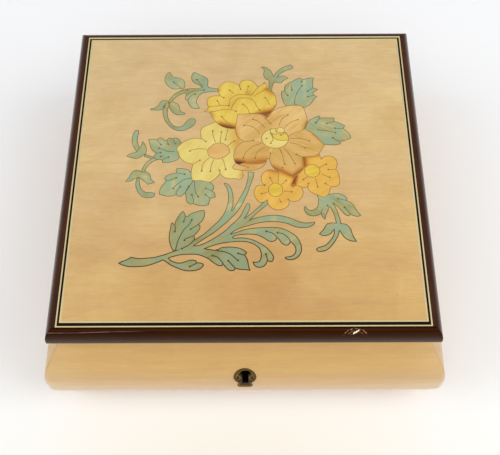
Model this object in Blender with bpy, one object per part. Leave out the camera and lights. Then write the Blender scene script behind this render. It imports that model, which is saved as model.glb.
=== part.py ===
"""A musical jewelry box: a mitred wooden case with bulging walls, a hinged and inlaid lid, a key
lock, and a wind-up music works inside. Metres, +Z up, the front faces -Y, and the origin lies on
the surface that the box stands on, under its middle."""

import math

import bmesh
import bpy
from mathutils import Matrix, Vector

MM = 0.001

# Clearances
FIT = 0.3 * MM              # between pieces that touch
PLAY = 0.4 * MM             # round a piece that turns or slides

# Lid
LID_SIDE = 158.0 * MM
LID_THICK = 9.0 * MM
LID_OVERHANG = 4.4 * MM     # past the top edge of the case, on every side
LIP_WIDE = 3.35 * MM        # dark lipping round the lid, seen from above
LIP_ROUND = 2.7 * MM
LIP_ROUND_LOW = 1.2 * MM
STRING_WIDE = 2.6 * MM      # the three lines of stringing together
STRING_THICK = 1.2 * MM
MIRROR_INSET = 13.3 * MM    # from the inside of the case in to the mirror's edge
MIRROR_THICK = 2.0 * MM
FRAME_LAP = 3.7 * MM        # the frame laps over the mirror's edge
FRAME_WIDE = 9.0 * MM
FRAME_THICK = 1.3 * MM

# Case
CASE_HEIGHT = 52.7 * MM
CASE_FLARE = 11.4 * MM      # from the top edge out to the widest place
RIM_WIDE = 7.6 * MM         # thickness of a wall at its top edge
BELLY_ROUND = 33.0 * MM
BELLY_FLAT = 7.5 * MM       # upright stretch at the widest place
HEEL_ROUND = 16.0 * MM
HEEL_TURN = math.radians(75.6)
BASE_HIGH = 13.0 * MM       # underside of the bottom board, over the key's recess
BASE_THICK = 3.0 * MM

# Lining and compartments
LINING_THICK = 1.2 * MM
LINING_DROP = 2.7 * MM      # the lining ends this far below the top edge
DIVIDER_THICK = 3.0 * MM
COVER_THICK = 2.0 * MM
COVER_GAP = 1.3 * MM        # from the top of the works up to the dividers' top
CLEAT_WIDE = 4.0 * MM
CLEAT_HIGH = 4.0 * MM
PAD_THICK = 3.0 * MM
PAD_CROWN = 1.2 * MM
ROLL_COUNT = 3
ROLL_GAP = 0.6 * MM

# Escutcheon and keyhole
KEYHOLE_DOWN = 21.45 * MM   # from the top edge of the case to the centre of the round part
PLATE_ROUND = 4.95 * MM
PLATE_NECK = 5.5 * MM
PLATE_FOOT = 6.4 * MM
PLATE_DROP = 11.9 * MM      # from the centre down to the foot
PLATE_PROUD = 0.4 * MM
PLATE_SUNK = 0.6 * MM
KEYHOLE_ROUND = 2.2 * MM
KEYHOLE_SLOT = 2.75 * MM
KEYHOLE_DROP = 7.2 * MM

# Box lock
LOCK_WIDE = 24.0 * MM
LOCK_BELOW = 1.85 * MM      # from the foot of the keyhole to the foot of the lock
LOCK_DEEP = 5.4 * MM
FACE_RIM = 0.2 * MM         # brass of the face plate past the heads of its screws
FACE_THICK = 1.0 * MM
BOLT_WIDE = 8.0 * MM
BOLT_THICK = 1.8 * MM
BOLT_TALL = 14.0 * MM
BOLT_THROW = 4.0 * MM
STRIKE_LONG = 22.0 * MM
STRIKE_THICK = 0.8 * MM

# Hinges
HINGE_X = 42.0 * MM
HINGE_LONG = 25.0 * MM
KNUCKLE_MIDDLE = 9.4 * MM
KNUCKLE_ROUND = 1.6 * MM
PIN_ROUND = 0.65 * MM
PIN_BORE = 1.0 * MM
LEAF_THICK = 1.0 * MM
LEAF_EDGE = 5.6 * MM        # from the top edge of the case in to the leaf's edge
PIVOT_OUT = 2.0 * MM        # from the top edge of the case out to the hinge pin
HINGE_SCREW_X = 8.0 * MM
HINGE_SCREW_IN = 3.0 * MM   # from the top edge of the case

# Screws, as head radius, shank radius, head thickness and length
WOOD_SCREW = (1.3 * MM, 0.7 * MM, 0.6 * MM, 6.0 * MM)
COMB_SCREW = (1.9 * MM, 0.8 * MM, 1.2 * MM, 6.6 * MM)
FIXING_SCREW = (2.2 * MM, 1.0 * MM, 1.2 * MM, 6.2 * MM)
SLOT_WIDE = 0.4 * MM
SLOT_DEEP = 0.3 * MM

# Music works: the drum's axis is its reference point, u along the cylinder, v across, w up
BED_GAPS = (3.0 * MM, 3.2 * MM, 1.5 * MM, 1.2 * MM)   # to the left, right, front and back
BED_LONG = (-12.5 * MM, 43.5 * MM)
BED_ACROSS = (-25.0 * MM, 22.5 * MM)
BED_THICK = 2.0 * MM
DRUM_ROUND = 11.7 * MM
DRUM_LOW = 2.6 * MM
DRUM_TALL = 7.1 * MM
DRUM_WALL = 0.8 * MM
CROWN_TEETH = 36
CROWN_MODULE = 0.6 * MM
CROWN_TALL = 1.15 * MM
CROWN_FACE = 1.8 * MM
CROWN_MESH = 0.6            # share of the crown's height below the pinion's pitch line
SPRING_TURNS = 3.5
SPRING_THICK = 0.5 * MM
SPRING_TALL = 4.4 * MM
ARBOR_ROUND = 1.5 * MM
ARBOR_SHORT = 2.2 * MM      # the arbor ends this far above the foot of the key's hub
KEY_WIDE = 22.0 * MM
KEY_TALL = 8.0 * MM
KEY_THICK = 1.6 * MM
KEY_HUB = 2.9 * MM
KEY_HUB_TALL = 6.5 * MM
KEY_WAIST = 0.6             # how far the wings draw in towards the hub
KEY_GAP = 2.7 * MM          # from the key's hub up to the bottom board
KEY_EYE = 2.0 * MM

PINION_TEETH = 12
PINION_FACE = 1.8 * MM
PINION_SHAPE = (0.75, 1.15)  # tip and root of a tooth, as shares of its module
CYLINDER_ROUND = 6.0 * MM
CYLINDER_FROM = 14.0 * MM
CYLINDER_LONG = 20.0 * MM
CYLINDER_SIDES = 24
PIN_TALL = 0.6 * MM
NOTES = 18
SHAFT_ROUND = 0.9 * MM
LUG_THICK = 1.0 * MM
LUG_WIDE = 4.0 * MM
GEAR_GAP = 1.0 * MM         # along the shaft, from a wheel to its neighbour
WHEEL_TEETH = 36
WHEEL_MODULE = 0.4 * MM
WHEEL_FACE = 1.2 * MM
WHEEL_SHAPE = (0.8, 1.2)
TRAIN_TEETH = 9
TRAIN_SHAPE = (0.7, 1.1)
TRAIN_ACROSS = 8.0 * MM
TRAIN_SHAFT = 0.6 * MM
WORM_TEETH = 24
WORM_MODULE = 0.5 * MM
WORM_FACE = 1.0 * MM
WORM_SHAPE = (0.6, 1.2)
WORM_ROUND = 1.5 * MM       # pitch radius of the worm
WORM_CORE = 0.95 * MM
WORM_CREST = 1.8 * MM
WORM_TURNS = 4
FAN_GAP = 3.6 * MM          # from the worm up to the fan
FAN_END = 1.1 * MM          # from the fan up to the end of its shaft
FAN_TALL = 3.2 * MM
FAN_WIDE = 6.0 * MM
FAN_THICK = 0.5 * MM
BRACKET_THICK = 1.2 * MM
BRACKET_REACH = 6.5 * MM

COMB_BACK = 8.0 * MM        # solid back of the comb, which is screwed down
COMB_THICK = 1.0 * MM
COMB_SLOT = 0.35 * MM
TIP_GAP = 0.25 * MM

STOP_ROUND = 0.8 * MM
STOP_ACROSS = 20.6 * MM
STOP_LIFT = 2.5 * MM        # how far the pin rises when the lid opens
STOP_FINGER = 1.0 * MM

# Worked out from the sizes above
LID_HALF = LID_SIDE / 2
LID_LOW = CASE_HEIGHT + FIT
LID_TOP = LID_LOW + LID_THICK
TOP_HALF = LID_HALF - LID_OVERHANG
WIDE_HALF = TOP_HALF + CASE_FLARE
INNER_HALF = TOP_HALF - RIM_WIDE
MIRROR_HALF = INNER_HALF - MIRROR_INSET
BELLY_LOW = HEEL_ROUND * math.sin(HEEL_TURN)
BELLY_HIGH = BELLY_LOW + BELLY_FLAT
BASE_TOP = BASE_HIGH + BASE_THICK
FLOOR = BASE_TOP + FIT
LINING_INNER = INNER_HALF - FIT - LINING_THICK
ROOM_HALF = LINING_INNER - FIT
PIVOT = Vector((0, TOP_HALF + PIVOT_OUT, CASE_HEIGHT - KNUCKLE_ROUND))
PANEL_HALF = LID_HALF - LIP_WIDE - FIT
PAST = 1.0 * MM             # how far a cutter runs past the face that it opens

PLATE_Z = CASE_HEIGHT - KEYHOLE_DOWN
PLATE_SHAPE = (PLATE_Z, PLATE_ROUND, PLATE_NECK, PLATE_FOOT, PLATE_DROP)
KEYHOLE_SHAPE = (PLATE_Z, KEYHOLE_ROUND, KEYHOLE_SLOT, KEYHOLE_SLOT, KEYHOLE_DROP)
LOCK_TALL = KEYHOLE_DOWN + KEYHOLE_DROP + LOCK_BELOW
FACE_LONG = LOCK_WIDE + 4 * (WOOD_SCREW[0] + FACE_RIM)

WORKS_X = -ROOM_HALF + BED_GAPS[0] - BED_LONG[0]
WORKS_Y = ROOM_HALF - BED_GAPS[3] - BED_ACROSS[1]
WORKS_DIVIDER_X = WORKS_X + BED_LONG[1] + BED_GAPS[1] + DIVIDER_THICK / 2
REAR_DIVIDER_Y = WORKS_Y + BED_ACROSS[0] - BED_GAPS[2] - DIVIDER_THICK / 2
KEY_FOOT = BASE_HIGH - KEY_GAP - KEY_HUB_TALL
KEY_MIDDLE = KEY_FOOT + KEY_TALL / 4

CYLINDER_UP = DRUM_LOW + DRUM_TALL + CROWN_MESH * CROWN_TALL + PINION_TEETH * CROWN_MODULE / 2
CYLINDER_TO = CYLINDER_FROM + CYLINDER_LONG
PINION_MIDDLE = CROWN_TEETH * CROWN_MODULE / 2
WHEEL_FROM = CYLINDER_TO + GEAR_GAP
WHEEL_TO = WHEEL_FROM + WHEEL_FACE
RIGHT_LUG = WHEEL_TO + GEAR_GAP / 2
WORM_MIDDLE = RIGHT_LUG + LUG_THICK + GEAR_GAP / 2 + WORM_FACE / 2
TRAIN_REACH = (WHEEL_TEETH + TRAIN_TEETH) * WHEEL_MODULE / 2
TRAIN_UP = CYLINDER_UP - math.sqrt(TRAIN_REACH ** 2 - TRAIN_ACROSS ** 2)
WORM_ACROSS = TRAIN_ACROSS + WORM_TEETH * WORM_MODULE / 2 + WORM_ROUND
WORM_PITCH = math.pi * WORM_MODULE
FAN_LOW = TRAIN_UP + WORM_PITCH * WORM_TURNS / 2 + FAN_GAP
GOVERNOR_TOP = FAN_LOW + FAN_TALL + FAN_END
BRACKET_FROM = WORM_MIDDLE + FAN_WIDE / 2 + PLAY
ARM_LOW = GOVERNOR_TOP + FIT
DIVIDER_TOP = FLOOR + ARM_LOW + BRACKET_THICK + COVER_GAP
COMB_UP = CYLINDER_UP - COMB_THICK / 2
COMB_TIP = CYLINDER_ROUND + PIN_TALL + TIP_GAP
PAD_TOP = COMB_UP - FIT

FINISHES = {
    "maple": ((0.70, 0.49, 0.27), 0.3, 0.0),
    "mahogany": ((0.06, 0.02, 0.012), 0.2, 0.0),
    "stringing": ((0.80, 0.72, 0.48), 0.35, 0.0),
    "plywood": ((0.45, 0.30, 0.16), 0.6, 0.0),
    "velvet": ((0.22, 0.02, 0.03), 0.9, 0.0),
    "brass": ((0.70, 0.50, 0.20), 0.3, 1.0),
    "dark_brass": ((0.20, 0.16, 0.08), 0.4, 1.0),
    "steel": ((0.60, 0.60, 0.60), 0.3, 1.0),
    "zinc": ((0.45, 0.46, 0.48), 0.45, 1.0),
    "mirror": ((0.85, 0.87, 0.88), 0.03, 1.0),
    "acrylic": ((0.90, 0.93, 0.95), 0.05, 0.0),
}


# Making objects

def finish_of(name):
    """The material of this name, made once."""
    if name not in bpy.data.materials:
        colour, roughness, metallic = FINISHES[name]
        material = bpy.data.materials.new(name)
        material.use_nodes = True
        shader = material.node_tree.nodes["Principled BSDF"]
        shader.inputs["Base Color"].default_value = (*colour, 1)
        shader.inputs["Roughness"].default_value = roughness
        shader.inputs["Metallic"].default_value = metallic
    return bpy.data.materials[name]


def pivot(name, place):
    """An empty on a joint's axis, which the pieces of that joint hang on."""
    empty = bpy.data.objects.new(name, None)
    empty.location = place
    bpy.context.scene.collection.objects.link(empty)
    return empty


def piece(name, bm, finish, rides=None):
    """An object made of bm, whose points are places in the box; its origin is its pivot's."""
    bmesh.ops.recalc_face_normals(bm, faces=bm.faces)
    mesh = bpy.data.meshes.new(name)
    if rides:
        bmesh.ops.translate(bm, verts=bm.verts, vec=-rides.location)
    bm.to_mesh(mesh)
    bm.free()
    mesh.shade_smooth()
    mesh.set_sharp_from_angle(angle=math.radians(35))
    mesh.materials.append(finish_of(finish))
    made = bpy.data.objects.new(name, mesh)
    made.parent = rides
    bpy.context.scene.collection.objects.link(made)
    return made


def cutter(name, bm):
    """A hidden shape, used to cut or to join."""
    tool = piece(name, bm, "steel")
    tool.hide_render = True
    tool.display_type = "WIRE"
    return tool


def combine(target, operation, *tools):
    """Adds a Boolean for each tool: DIFFERENCE, UNION or INTERSECT."""
    for tool in tools:
        step = target.modifiers.new(operation.lower(), "BOOLEAN")
        step.operation = operation
        step.solver = "EXACT"
        step.object = tool
    return target


# Shapes

def along(axis, a, b, h):
    """A point of an outline in (a, b), pushed by h along the axis."""
    return {"X": (h, a, b), "Y": (a, h, b), "Z": (a, b, h)}[axis]


def prism(outline, low, high, axis="Z"):
    """The outline pushed from low to high along the axis."""
    bm = bmesh.new()
    bottom = [bm.verts.new(along(axis, a, b, low)) for a, b in outline]
    top = [bm.verts.new(along(axis, a, b, high)) for a, b in outline]
    skin(bm, bottom, top)
    bm.faces.new(bottom)
    bm.faces.new(top)
    return bm


def skin(bm, ring, other):
    """Faces between two closed rings of points."""
    count = len(ring)
    for i in range(count):
        j = (i + 1) % count
        bm.faces.new((ring[i], ring[j], other[j], other[i]))


def box(x0, x1, y0, y1, z0, z1):
    return prism([(x0, y0), (x1, y0), (x1, y1), (x0, y1)], z0, z1)


def arc(centre, radius, start, end, steps):
    """Points along an arc, both ends included."""
    turns = [start + (end - start) * i / steps for i in range(steps + 1)]
    return [(centre[0] + radius * math.cos(t), centre[1] + radius * math.sin(t)) for t in turns]


def turned(profile, sides, place, axis="Z"):
    """A profile of (radius, distance along) turned round the axis through place. It is closed
    where it starts and ends on the axis, and a ring where it does not reach it."""
    bm = bmesh.new()
    rings = []
    for radius, distance in profile:
        if radius == 0:
            rings.append([bm.verts.new(along(axis, 0, 0, distance))])
            continue
        angles = [2 * math.pi * (i + 0.5) / sides for i in range(sides)]
        points = [(radius * math.cos(t), radius * math.sin(t)) for t in angles]
        rings.append([bm.verts.new(along(axis, a, b, distance)) for a, b in points])
    open_ended = profile[0][0] == 0
    pairs = list(zip(rings, rings[1:] if open_ended else rings[1:] + rings[:1]))
    for ring, other in pairs:
        if len(ring) == len(other):
            skin(bm, ring, other)
        else:
            point = (ring if len(ring) == 1 else other)[0]
            loop = other if len(ring) == 1 else ring
            for i in range(len(loop)):
                bm.faces.new((point, loop[i], loop[(i + 1) % len(loop)]))
    bmesh.ops.translate(bm, verts=bm.verts, vec=place)
    return bm


def rod(radius, low, high, place, axis="Z", sides=12):
    return turned([(0, low), (radius, low), (radius, high), (0, high)], sides, place, axis)


MITRE = FIT / math.sqrt(2)


def mitred(profile, quarter):
    """A strip along one side of a square, mitred at both ends, with its profile as
    (distance out from the middle, height). The quarters count round from the front."""
    bm = bmesh.new()
    left = [bm.verts.new((MITRE - out, -out, up)) for out, up in profile]
    right = [bm.verts.new((out - MITRE, -out, up)) for out, up in profile]
    skin(bm, left, right)
    bm.faces.new(left)
    bm.faces.new(right)
    turn = Matrix.Rotation(quarter * math.pi / 2, 3, "Z")
    bmesh.ops.rotate(bm, verts=bm.verts, cent=(0, 0, 0), matrix=turn)
    return bm


def square_ring(profile, capped=False):
    """A profile of (half side, height) carried round a square: a closed ring, or a solid block
    where its ends are capped."""
    bm = bmesh.new()
    corners = [(-1, -1), (1, -1), (1, 1), (-1, 1)]
    loops = [[bm.verts.new((x * half, y * half, up)) for x, y in corners] for half, up in profile]
    for loop, other in zip(loops, loops[1:]):
        skin(bm, loop, other)
    if capped:
        bm.faces.new(loops[0])
        bm.faces.new(loops[-1])
    else:
        skin(bm, loops[-1], loops[0])
    return bm


def gear_outline(teeth, module, shape, turn=0.0):
    """A spur wheel's outline, with straight-sided teeth that are narrow enough to run free."""
    pitch = teeth * module / 2
    tip = pitch + shape[0] * module
    root = pitch - shape[1] * module
    step = 2 * math.pi / teeth
    points = []
    for i in range(teeth):
        middle = turn + i * step
        for radius, offset in ((root, -0.25), (tip, -0.10), (tip, 0.10), (root, 0.25)):
            angle = middle + offset * step
            points.append((radius * math.cos(angle), radius * math.sin(angle)))
    return points


def screw(name, spec, place, up, finish, rides=None):
    """A slotted countersunk screw and the cutter for its seat. Up is 1 where its head faces up."""
    head, shank, thick, length = spec
    down = -up
    body = [(0, 0), (head, 0), (shank, down * thick), (shank, down * (length - shank)),
            (0, down * length)]
    made = piece(name, turned(body, 12, place), finish, rides)
    slot = box(-head * 1.2, head * 1.2, -SLOT_WIDE / 2, SLOT_WIDE / 2, -SLOT_DEEP, SLOT_DEEP)
    bmesh.ops.translate(slot, verts=slot.verts, vec=place)
    combine(made, "DIFFERENCE", cutter("cut_slot_" + name, slot))
    seat = [(0, up * PAST), (head + FIT * 1.2, up * PAST), (head + FIT * 1.2, 0),
            (shank + FIT * 1.2, down * thick), (shank + FIT * 1.2, down * (length + FIT)),
            (0, down * (length + FIT))]
    return made, cutter("cut_seat_" + name, turned(seat, 12, place))


# The case

def belly_centre():
    return Vector((WIDE_HALF - BELLY_ROUND, BELLY_HIGH))


def flare_turn():
    """How far the belly's arc turns before it runs straight up to the top edge."""
    reach = Vector((TOP_HALF, CASE_HEIGHT)) - belly_centre()
    return math.atan2(reach.y, reach.x) - math.acos(min(1, BELLY_ROUND / reach.length))


def outer_profile():
    """The outside of a wall as (distance out, height), from the bottom up."""
    heel = (WIDE_HALF - HEEL_ROUND, BELLY_LOW)
    return (arc(heel, HEEL_ROUND, -HEEL_TURN, 0, 9)
            + arc(belly_centre(), BELLY_ROUND, 0, flare_turn(), 7)
            + [(TOP_HALF, CASE_HEIGHT)])


def out_at(height):
    """How far out the wall's surface lies at this height."""
    points = outer_profile()
    for (out, low), (other, high) in zip(points, points[1:]):
        if low <= height <= high:
            return out + (other - out) * (height - low) / (high - low)
    return points[-1][0]


def case_walls():
    profile = [(INNER_HALF, 0)] + outer_profile() + [(INNER_HALF, CASE_HEIGHT)]
    names = ("front_wall", "right_wall", "back_wall", "left_wall")
    return {name: piece(name, mitred(profile, i), "maple") for i, name in enumerate(names)}


def base_board():
    half = INNER_HALF - FIT
    return piece("base_board", box(-half, half, -half, half, BASE_HIGH, BASE_TOP), "plywood")


def bulb_outline(centre, radius, neck, foot, drop, grow):
    """A round head over a straight or flared foot, in (across, height)."""
    head = radius + grow
    waist = neck / 2 + grow
    turn = math.acos(waist / head)
    bottom = centre - drop - grow
    points = [(-foot / 2 - grow, bottom), (foot / 2 + grow, bottom)]
    return points + arc((0, centre), head, -turn, math.pi + turn, 16)


def shell(name, outer, inner):
    """A strip of the front's curved surface, from outer to inner of it, wide enough to cut the
    escutcheon from."""
    low = PLATE_Z - PLATE_DROP - PAST
    high = PLATE_Z + PLATE_ROUND + PAST
    heights = [low + (high - low) * i / 8 for i in range(9)]
    front = [(-out_at(z) - outer, z) for z in heights]
    back = [(-out_at(z) + inner, z) for z in heights]
    reach = PLATE_ROUND + PAST
    return name, prism(front + back[::-1], -reach, reach, "X")


def escutcheon(front_wall):
    """The keyhole plate, let into the curved front, and the way through to the lock."""
    far = WIDE_HALF + 5 * PAST
    near = INNER_HALF
    outline = cutter("cut_plate", prism(bulb_outline(*PLATE_SHAPE, 0), -far, -near, "Y"))
    keyhole = cutter("cut_keyhole", prism(bulb_outline(*KEYHOLE_SHAPE, 0), -far, -near, "Y"))
    name, strip = shell("escutcheon", PLATE_PROUD, PLATE_SUNK)
    made = piece(name, strip, "dark_brass")
    combine(made, "INTERSECT", outline)
    combine(made, "DIFFERENCE", keyhole)
    seat = cutter(*shell("cut_plate_seat", 3 * PAST, PLATE_SUNK + FIT))
    wide = prism(bulb_outline(*PLATE_SHAPE, FIT), -far, -near, "Y")
    combine(seat, "INTERSECT", cutter("cut_plate_wide", wide))
    combine(front_wall, "DIFFERENCE", seat, keyhole)
    return made


def box_lock(front_wall, lid_panel, lid, bolt_pivot):
    """The lock let into the front wall: its case with the face plate, the bolt, two screws, and
    the strike plate in the lid."""
    back = -(INNER_HALF + FIT)
    front = back - LOCK_DEEP
    low = CASE_HEIGHT - LOCK_TALL
    middle = (front + back) / 2
    half = LOCK_WIDE / 2
    body = box(-half, half, front, back, low, CASE_HEIGHT - FACE_THICK / 2)
    case = piece("lock_case", body, "brass")
    face = FACE_LONG / 2
    plate = box(-face, face, front - FIT, back, CASE_HEIGHT - FACE_THICK, CASE_HEIGHT)
    combine(case, "UNION", cutter("add_face_plate", plate))
    wide = BOLT_WIDE / 2
    thick = BOLT_THICK / 2
    bolt_top = CASE_HEIGHT - FIT
    bolt_low = bolt_top - BOLT_TALL
    hollow = box(-wide - FIT, wide + FIT, middle - thick - FIT, middle + thick + FIT,
                 bolt_low - FIT, CASE_HEIGHT + PAST)
    way_in = prism(bulb_outline(*KEYHOLE_SHAPE, 0), front - PAST, middle, "Y")
    combine(case, "DIFFERENCE", cutter("cut_bolt_way", hollow), cutter("cut_key_way", way_in))
    bolt = box(-wide, wide, middle - thick, middle + thick, bolt_low, bolt_top)
    piece("lock_bolt", bolt, "steel", bolt_pivot)
    mortise = box(-half - FIT, half + FIT, front - FIT, back + PAST, low - FIT, CASE_HEIGHT + PAST)
    ledge = box(-face - FIT, face + FIT, front - 2 * FIT, back + PAST,
                CASE_HEIGHT - FACE_THICK - FIT, CASE_HEIGHT + PAST)
    combine(front_wall, "DIFFERENCE", cutter("cut_lock", mortise), cutter("cut_lock_face", ledge))
    for side, word in ((-1, "left"), (1, "right")):
        place = Vector((side * (half + face) / 2, middle, CASE_HEIGHT))
        seat = screw("lock_screw_" + word, WOOD_SCREW, place, 1, "brass")[1]
        combine(case, "DIFFERENCE", seat)
        combine(front_wall, "DIFFERENCE", seat)
    strike = STRIKE_LONG / 2
    plate = box(-strike, strike, front, back, LID_LOW, LID_LOW + STRIKE_THICK)
    made = piece("strike_plate", plate, "brass", lid)
    pocket = box(-wide - PLAY, wide + PLAY, middle - thick - PLAY, middle + thick + PLAY,
                 LID_LOW - PAST, LID_LOW + BOLT_THROW + PAST)
    bed = box(-strike - FIT, strike + FIT, front - FIT, back + FIT, LID_LOW - PAST,
              LID_LOW + STRIKE_THICK + FIT)
    pocket = cutter("cut_strike_slot", pocket)
    combine(made, "DIFFERENCE", pocket)
    combine(lid_panel, "DIFFERENCE", pocket, cutter("cut_strike_bed", bed))


# The lid

def lid_panel(lid):
    """The lid board, stepped for the stringing above and hollowed for the mirror below."""
    step = PANEL_HALF - STRING_WIDE - FIT
    string_low = LID_TOP - STRING_THICK - FIT
    hollow = MIRROR_HALF + FIT
    profile = [(hollow, LID_LOW + MIRROR_THICK + 2 * FIT), (hollow, LID_LOW), (PANEL_HALF, LID_LOW),
               (PANEL_HALF, string_low), (step, string_low), (step, LID_TOP)]
    return piece("lid_panel", square_ring(profile, capped=True), "maple", lid)


def stringing(lid):
    inner = PANEL_HALF - STRING_WIDE
    low = LID_TOP - STRING_THICK
    profile = [(inner, low), (PANEL_HALF, low), (PANEL_HALF, LID_TOP), (inner, LID_TOP)]
    return piece("stringing_frame", square_ring(profile), "stringing", lid)


def mouldings(lid):
    """Four strips of dark lipping, rounded along both outer edges."""
    inner = LID_HALF - LIP_WIDE
    top = arc((LID_HALF - LIP_ROUND, LID_TOP - LIP_ROUND), LIP_ROUND, 0, math.pi / 2, 6)
    low = arc((LID_HALF - LIP_ROUND_LOW, LID_LOW + LIP_ROUND_LOW), LIP_ROUND_LOW, -math.pi / 2, 0, 4)
    profile = [(inner, LID_LOW)] + low + top + [(inner, LID_TOP)]
    names = ("moulding_front", "moulding_right", "moulding_back", "moulding_left")
    return {name: piece(name, mitred(profile, i), "mahogany", lid) for i, name in enumerate(names)}


def mirror(lid):
    """The mirror in the lid's hollow, and the padded frame that holds it."""
    low = LID_LOW + FIT
    half = MIRROR_HALF
    piece("mirror", box(-half, half, -half, half, low, low + MIRROR_THICK), "mirror", lid)
    inner = MIRROR_HALF - FRAME_LAP
    outer = inner + FRAME_WIDE
    bottom = CASE_HEIGHT - FRAME_THICK
    bulge = FRAME_THICK / 3
    profile = [(inner, CASE_HEIGHT), (inner, bottom + bulge), (inner + FRAME_WIDE / 4, bottom),
               (outer - FRAME_WIDE / 4, bottom), (outer, bottom + bulge), (outer, CASE_HEIGHT)]
    piece("mirror_frame", square_ring(profile), "velvet", lid)


# Hinges

def hinge(word, x, back_wall, panel, moulding_back, lid):
    """One butt hinge: a leaf let into the case's top edge, one into the lid, and the pin."""
    half = HINGE_LONG / 2
    middle = KNUCKLE_MIDDLE / 2
    edge = TOP_HALF - LEAF_EDGE
    axis = Vector((0, PIVOT.y, PIVOT.z))
    knuckle_back = PIVOT.y + KNUCKLE_ROUND
    bore = cutter(f"cut_bore_{word}", rod(PIN_BORE, x - half - PAST, x + half + PAST, axis, "X"))

    leaf = box(x - half, x + half, edge, PIVOT.y, CASE_HEIGHT - LEAF_THICK, CASE_HEIGHT)
    case_leaf = piece(f"hinge_leaf_case_{word}", leaf, "brass")
    barrel = rod(KNUCKLE_ROUND, x - half, x + half, axis, "X", 16)
    gap = box(x - middle - FIT, x + middle + FIT, PIVOT.y - KNUCKLE_ROUND - PLAY,
              knuckle_back + PAST, PIVOT.z - KNUCKLE_ROUND - PAST, CASE_HEIGHT + PAST)
    combine(case_leaf, "UNION", cutter(f"add_barrel_case_{word}", barrel))
    combine(case_leaf, "DIFFERENCE", cutter(f"cut_gap_{word}", gap), bore)

    leaf = box(x - half, x + half, edge, PIVOT.y - KNUCKLE_ROUND, LID_LOW, LID_LOW + LEAF_THICK)
    lid_leaf = piece(f"hinge_leaf_lid_{word}", leaf, "brass", lid)
    neck = box(x - middle, x + middle, PIVOT.y - KNUCKLE_ROUND - PAST, knuckle_back,
               LID_LOW, LID_LOW + LEAF_THICK)
    web = box(x - middle, x + middle, PIVOT.y - KNUCKLE_ROUND / 2, knuckle_back,
              PIVOT.z, LID_LOW + LEAF_THICK / 2)
    barrel = rod(KNUCKLE_ROUND, x - middle, x + middle, axis, "X", 16)
    combine(lid_leaf, "UNION", cutter(f"add_neck_{word}", neck), cutter(f"add_web_{word}", web),
            cutter(f"add_barrel_lid_{word}", barrel))
    combine(lid_leaf, "DIFFERENCE", bore)

    pin = rod(PIN_ROUND, x - half, x + half, axis, "X")
    piece(f"hinge_pin_{word}", pin, "steel")

    reach = half + FIT
    bed = box(x - reach, x + reach, edge - FIT, TOP_HALF + CASE_FLARE,
              CASE_HEIGHT - LEAF_THICK - FIT, CASE_HEIGHT + PAST)
    trough = rod(KNUCKLE_ROUND + PLAY, x - reach, x + reach, axis, "X", 16)
    combine(back_wall, "DIFFERENCE", cutter(f"cut_bed_{word}", bed),
            cutter(f"cut_trough_{word}", trough))
    lid_bed = box(x - reach, x + reach, edge - FIT, knuckle_back + FIT, LID_LOW - PAST,
                  LID_LOW + LEAF_THICK + FIT)
    lid_bed = cutter(f"cut_lid_bed_{word}", lid_bed)
    combine(panel, "DIFFERENCE", lid_bed)
    combine(moulding_back, "DIFFERENCE", lid_bed)

    for number, side in ((1, -1), (2, 1)):
        across = x + side * HINGE_SCREW_X
        deep = TOP_HALF - HINGE_SCREW_IN
        place = Vector((across, deep, CASE_HEIGHT))
        seat = screw(f"hinge_screw_case_{word}_{number}", WOOD_SCREW, place, 1, "brass")[1]
        combine(case_leaf, "DIFFERENCE", seat)
        combine(back_wall, "DIFFERENCE", seat)
        place = Vector((across, deep, LID_LOW))
        seat = screw(f"hinge_screw_lid_{word}_{number}", WOOD_SCREW, place, -1, "brass", lid)[1]
        combine(lid_leaf, "DIFFERENCE", seat)
        combine(panel, "DIFFERENCE", seat)


# Lining, compartments and ring rolls

def lining():
    outer = INNER_HALF - FIT
    top = CASE_HEIGHT - LINING_DROP
    profile = [(LINING_INNER, FLOOR), (outer, FLOOR), (outer, top), (LINING_INNER, top)]
    piece("wall_lining", square_ring(profile), "velvet")


def dividers():
    half = DIVIDER_THICK / 2
    rear = box(-ROOM_HALF, ROOM_HALF, REAR_DIVIDER_Y - half, REAR_DIVIDER_Y + half, FLOOR,
               DIVIDER_TOP)
    piece("rear_divider", rear, "velvet")
    side = box(WORKS_DIVIDER_X - half, WORKS_DIVIDER_X + half, REAR_DIVIDER_Y + half + FIT,
               ROOM_HALF, FLOOR, DIVIDER_TOP)
    piece("works_divider", side, "velvet")


def works_cover():
    """The clear plate over the works. It lies on both dividers and on a cleat by the left wall,
    and the stop pin comes up through it."""
    half = DIVIDER_THICK / 2
    low = DIVIDER_TOP + FIT
    plate = box(-ROOM_HALF, WORKS_DIVIDER_X + half, REAR_DIVIDER_Y - half, ROOM_HALF, low,
                low + COVER_THICK)
    made = piece("works_cover", plate, "acrylic")
    hole = rod(STOP_ROUND + PLAY, low - PAST, low + COVER_THICK + PAST, stop_place())
    combine(made, "DIFFERENCE", cutter("cut_cover_hole", hole))
    cleat = box(-ROOM_HALF, -ROOM_HALF + CLEAT_WIDE, REAR_DIVIDER_Y + half + FIT, ROOM_HALF,
                DIVIDER_TOP - CLEAT_HIGH, DIVIDER_TOP)
    piece("cover_cleat", cleat, "plywood")


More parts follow.
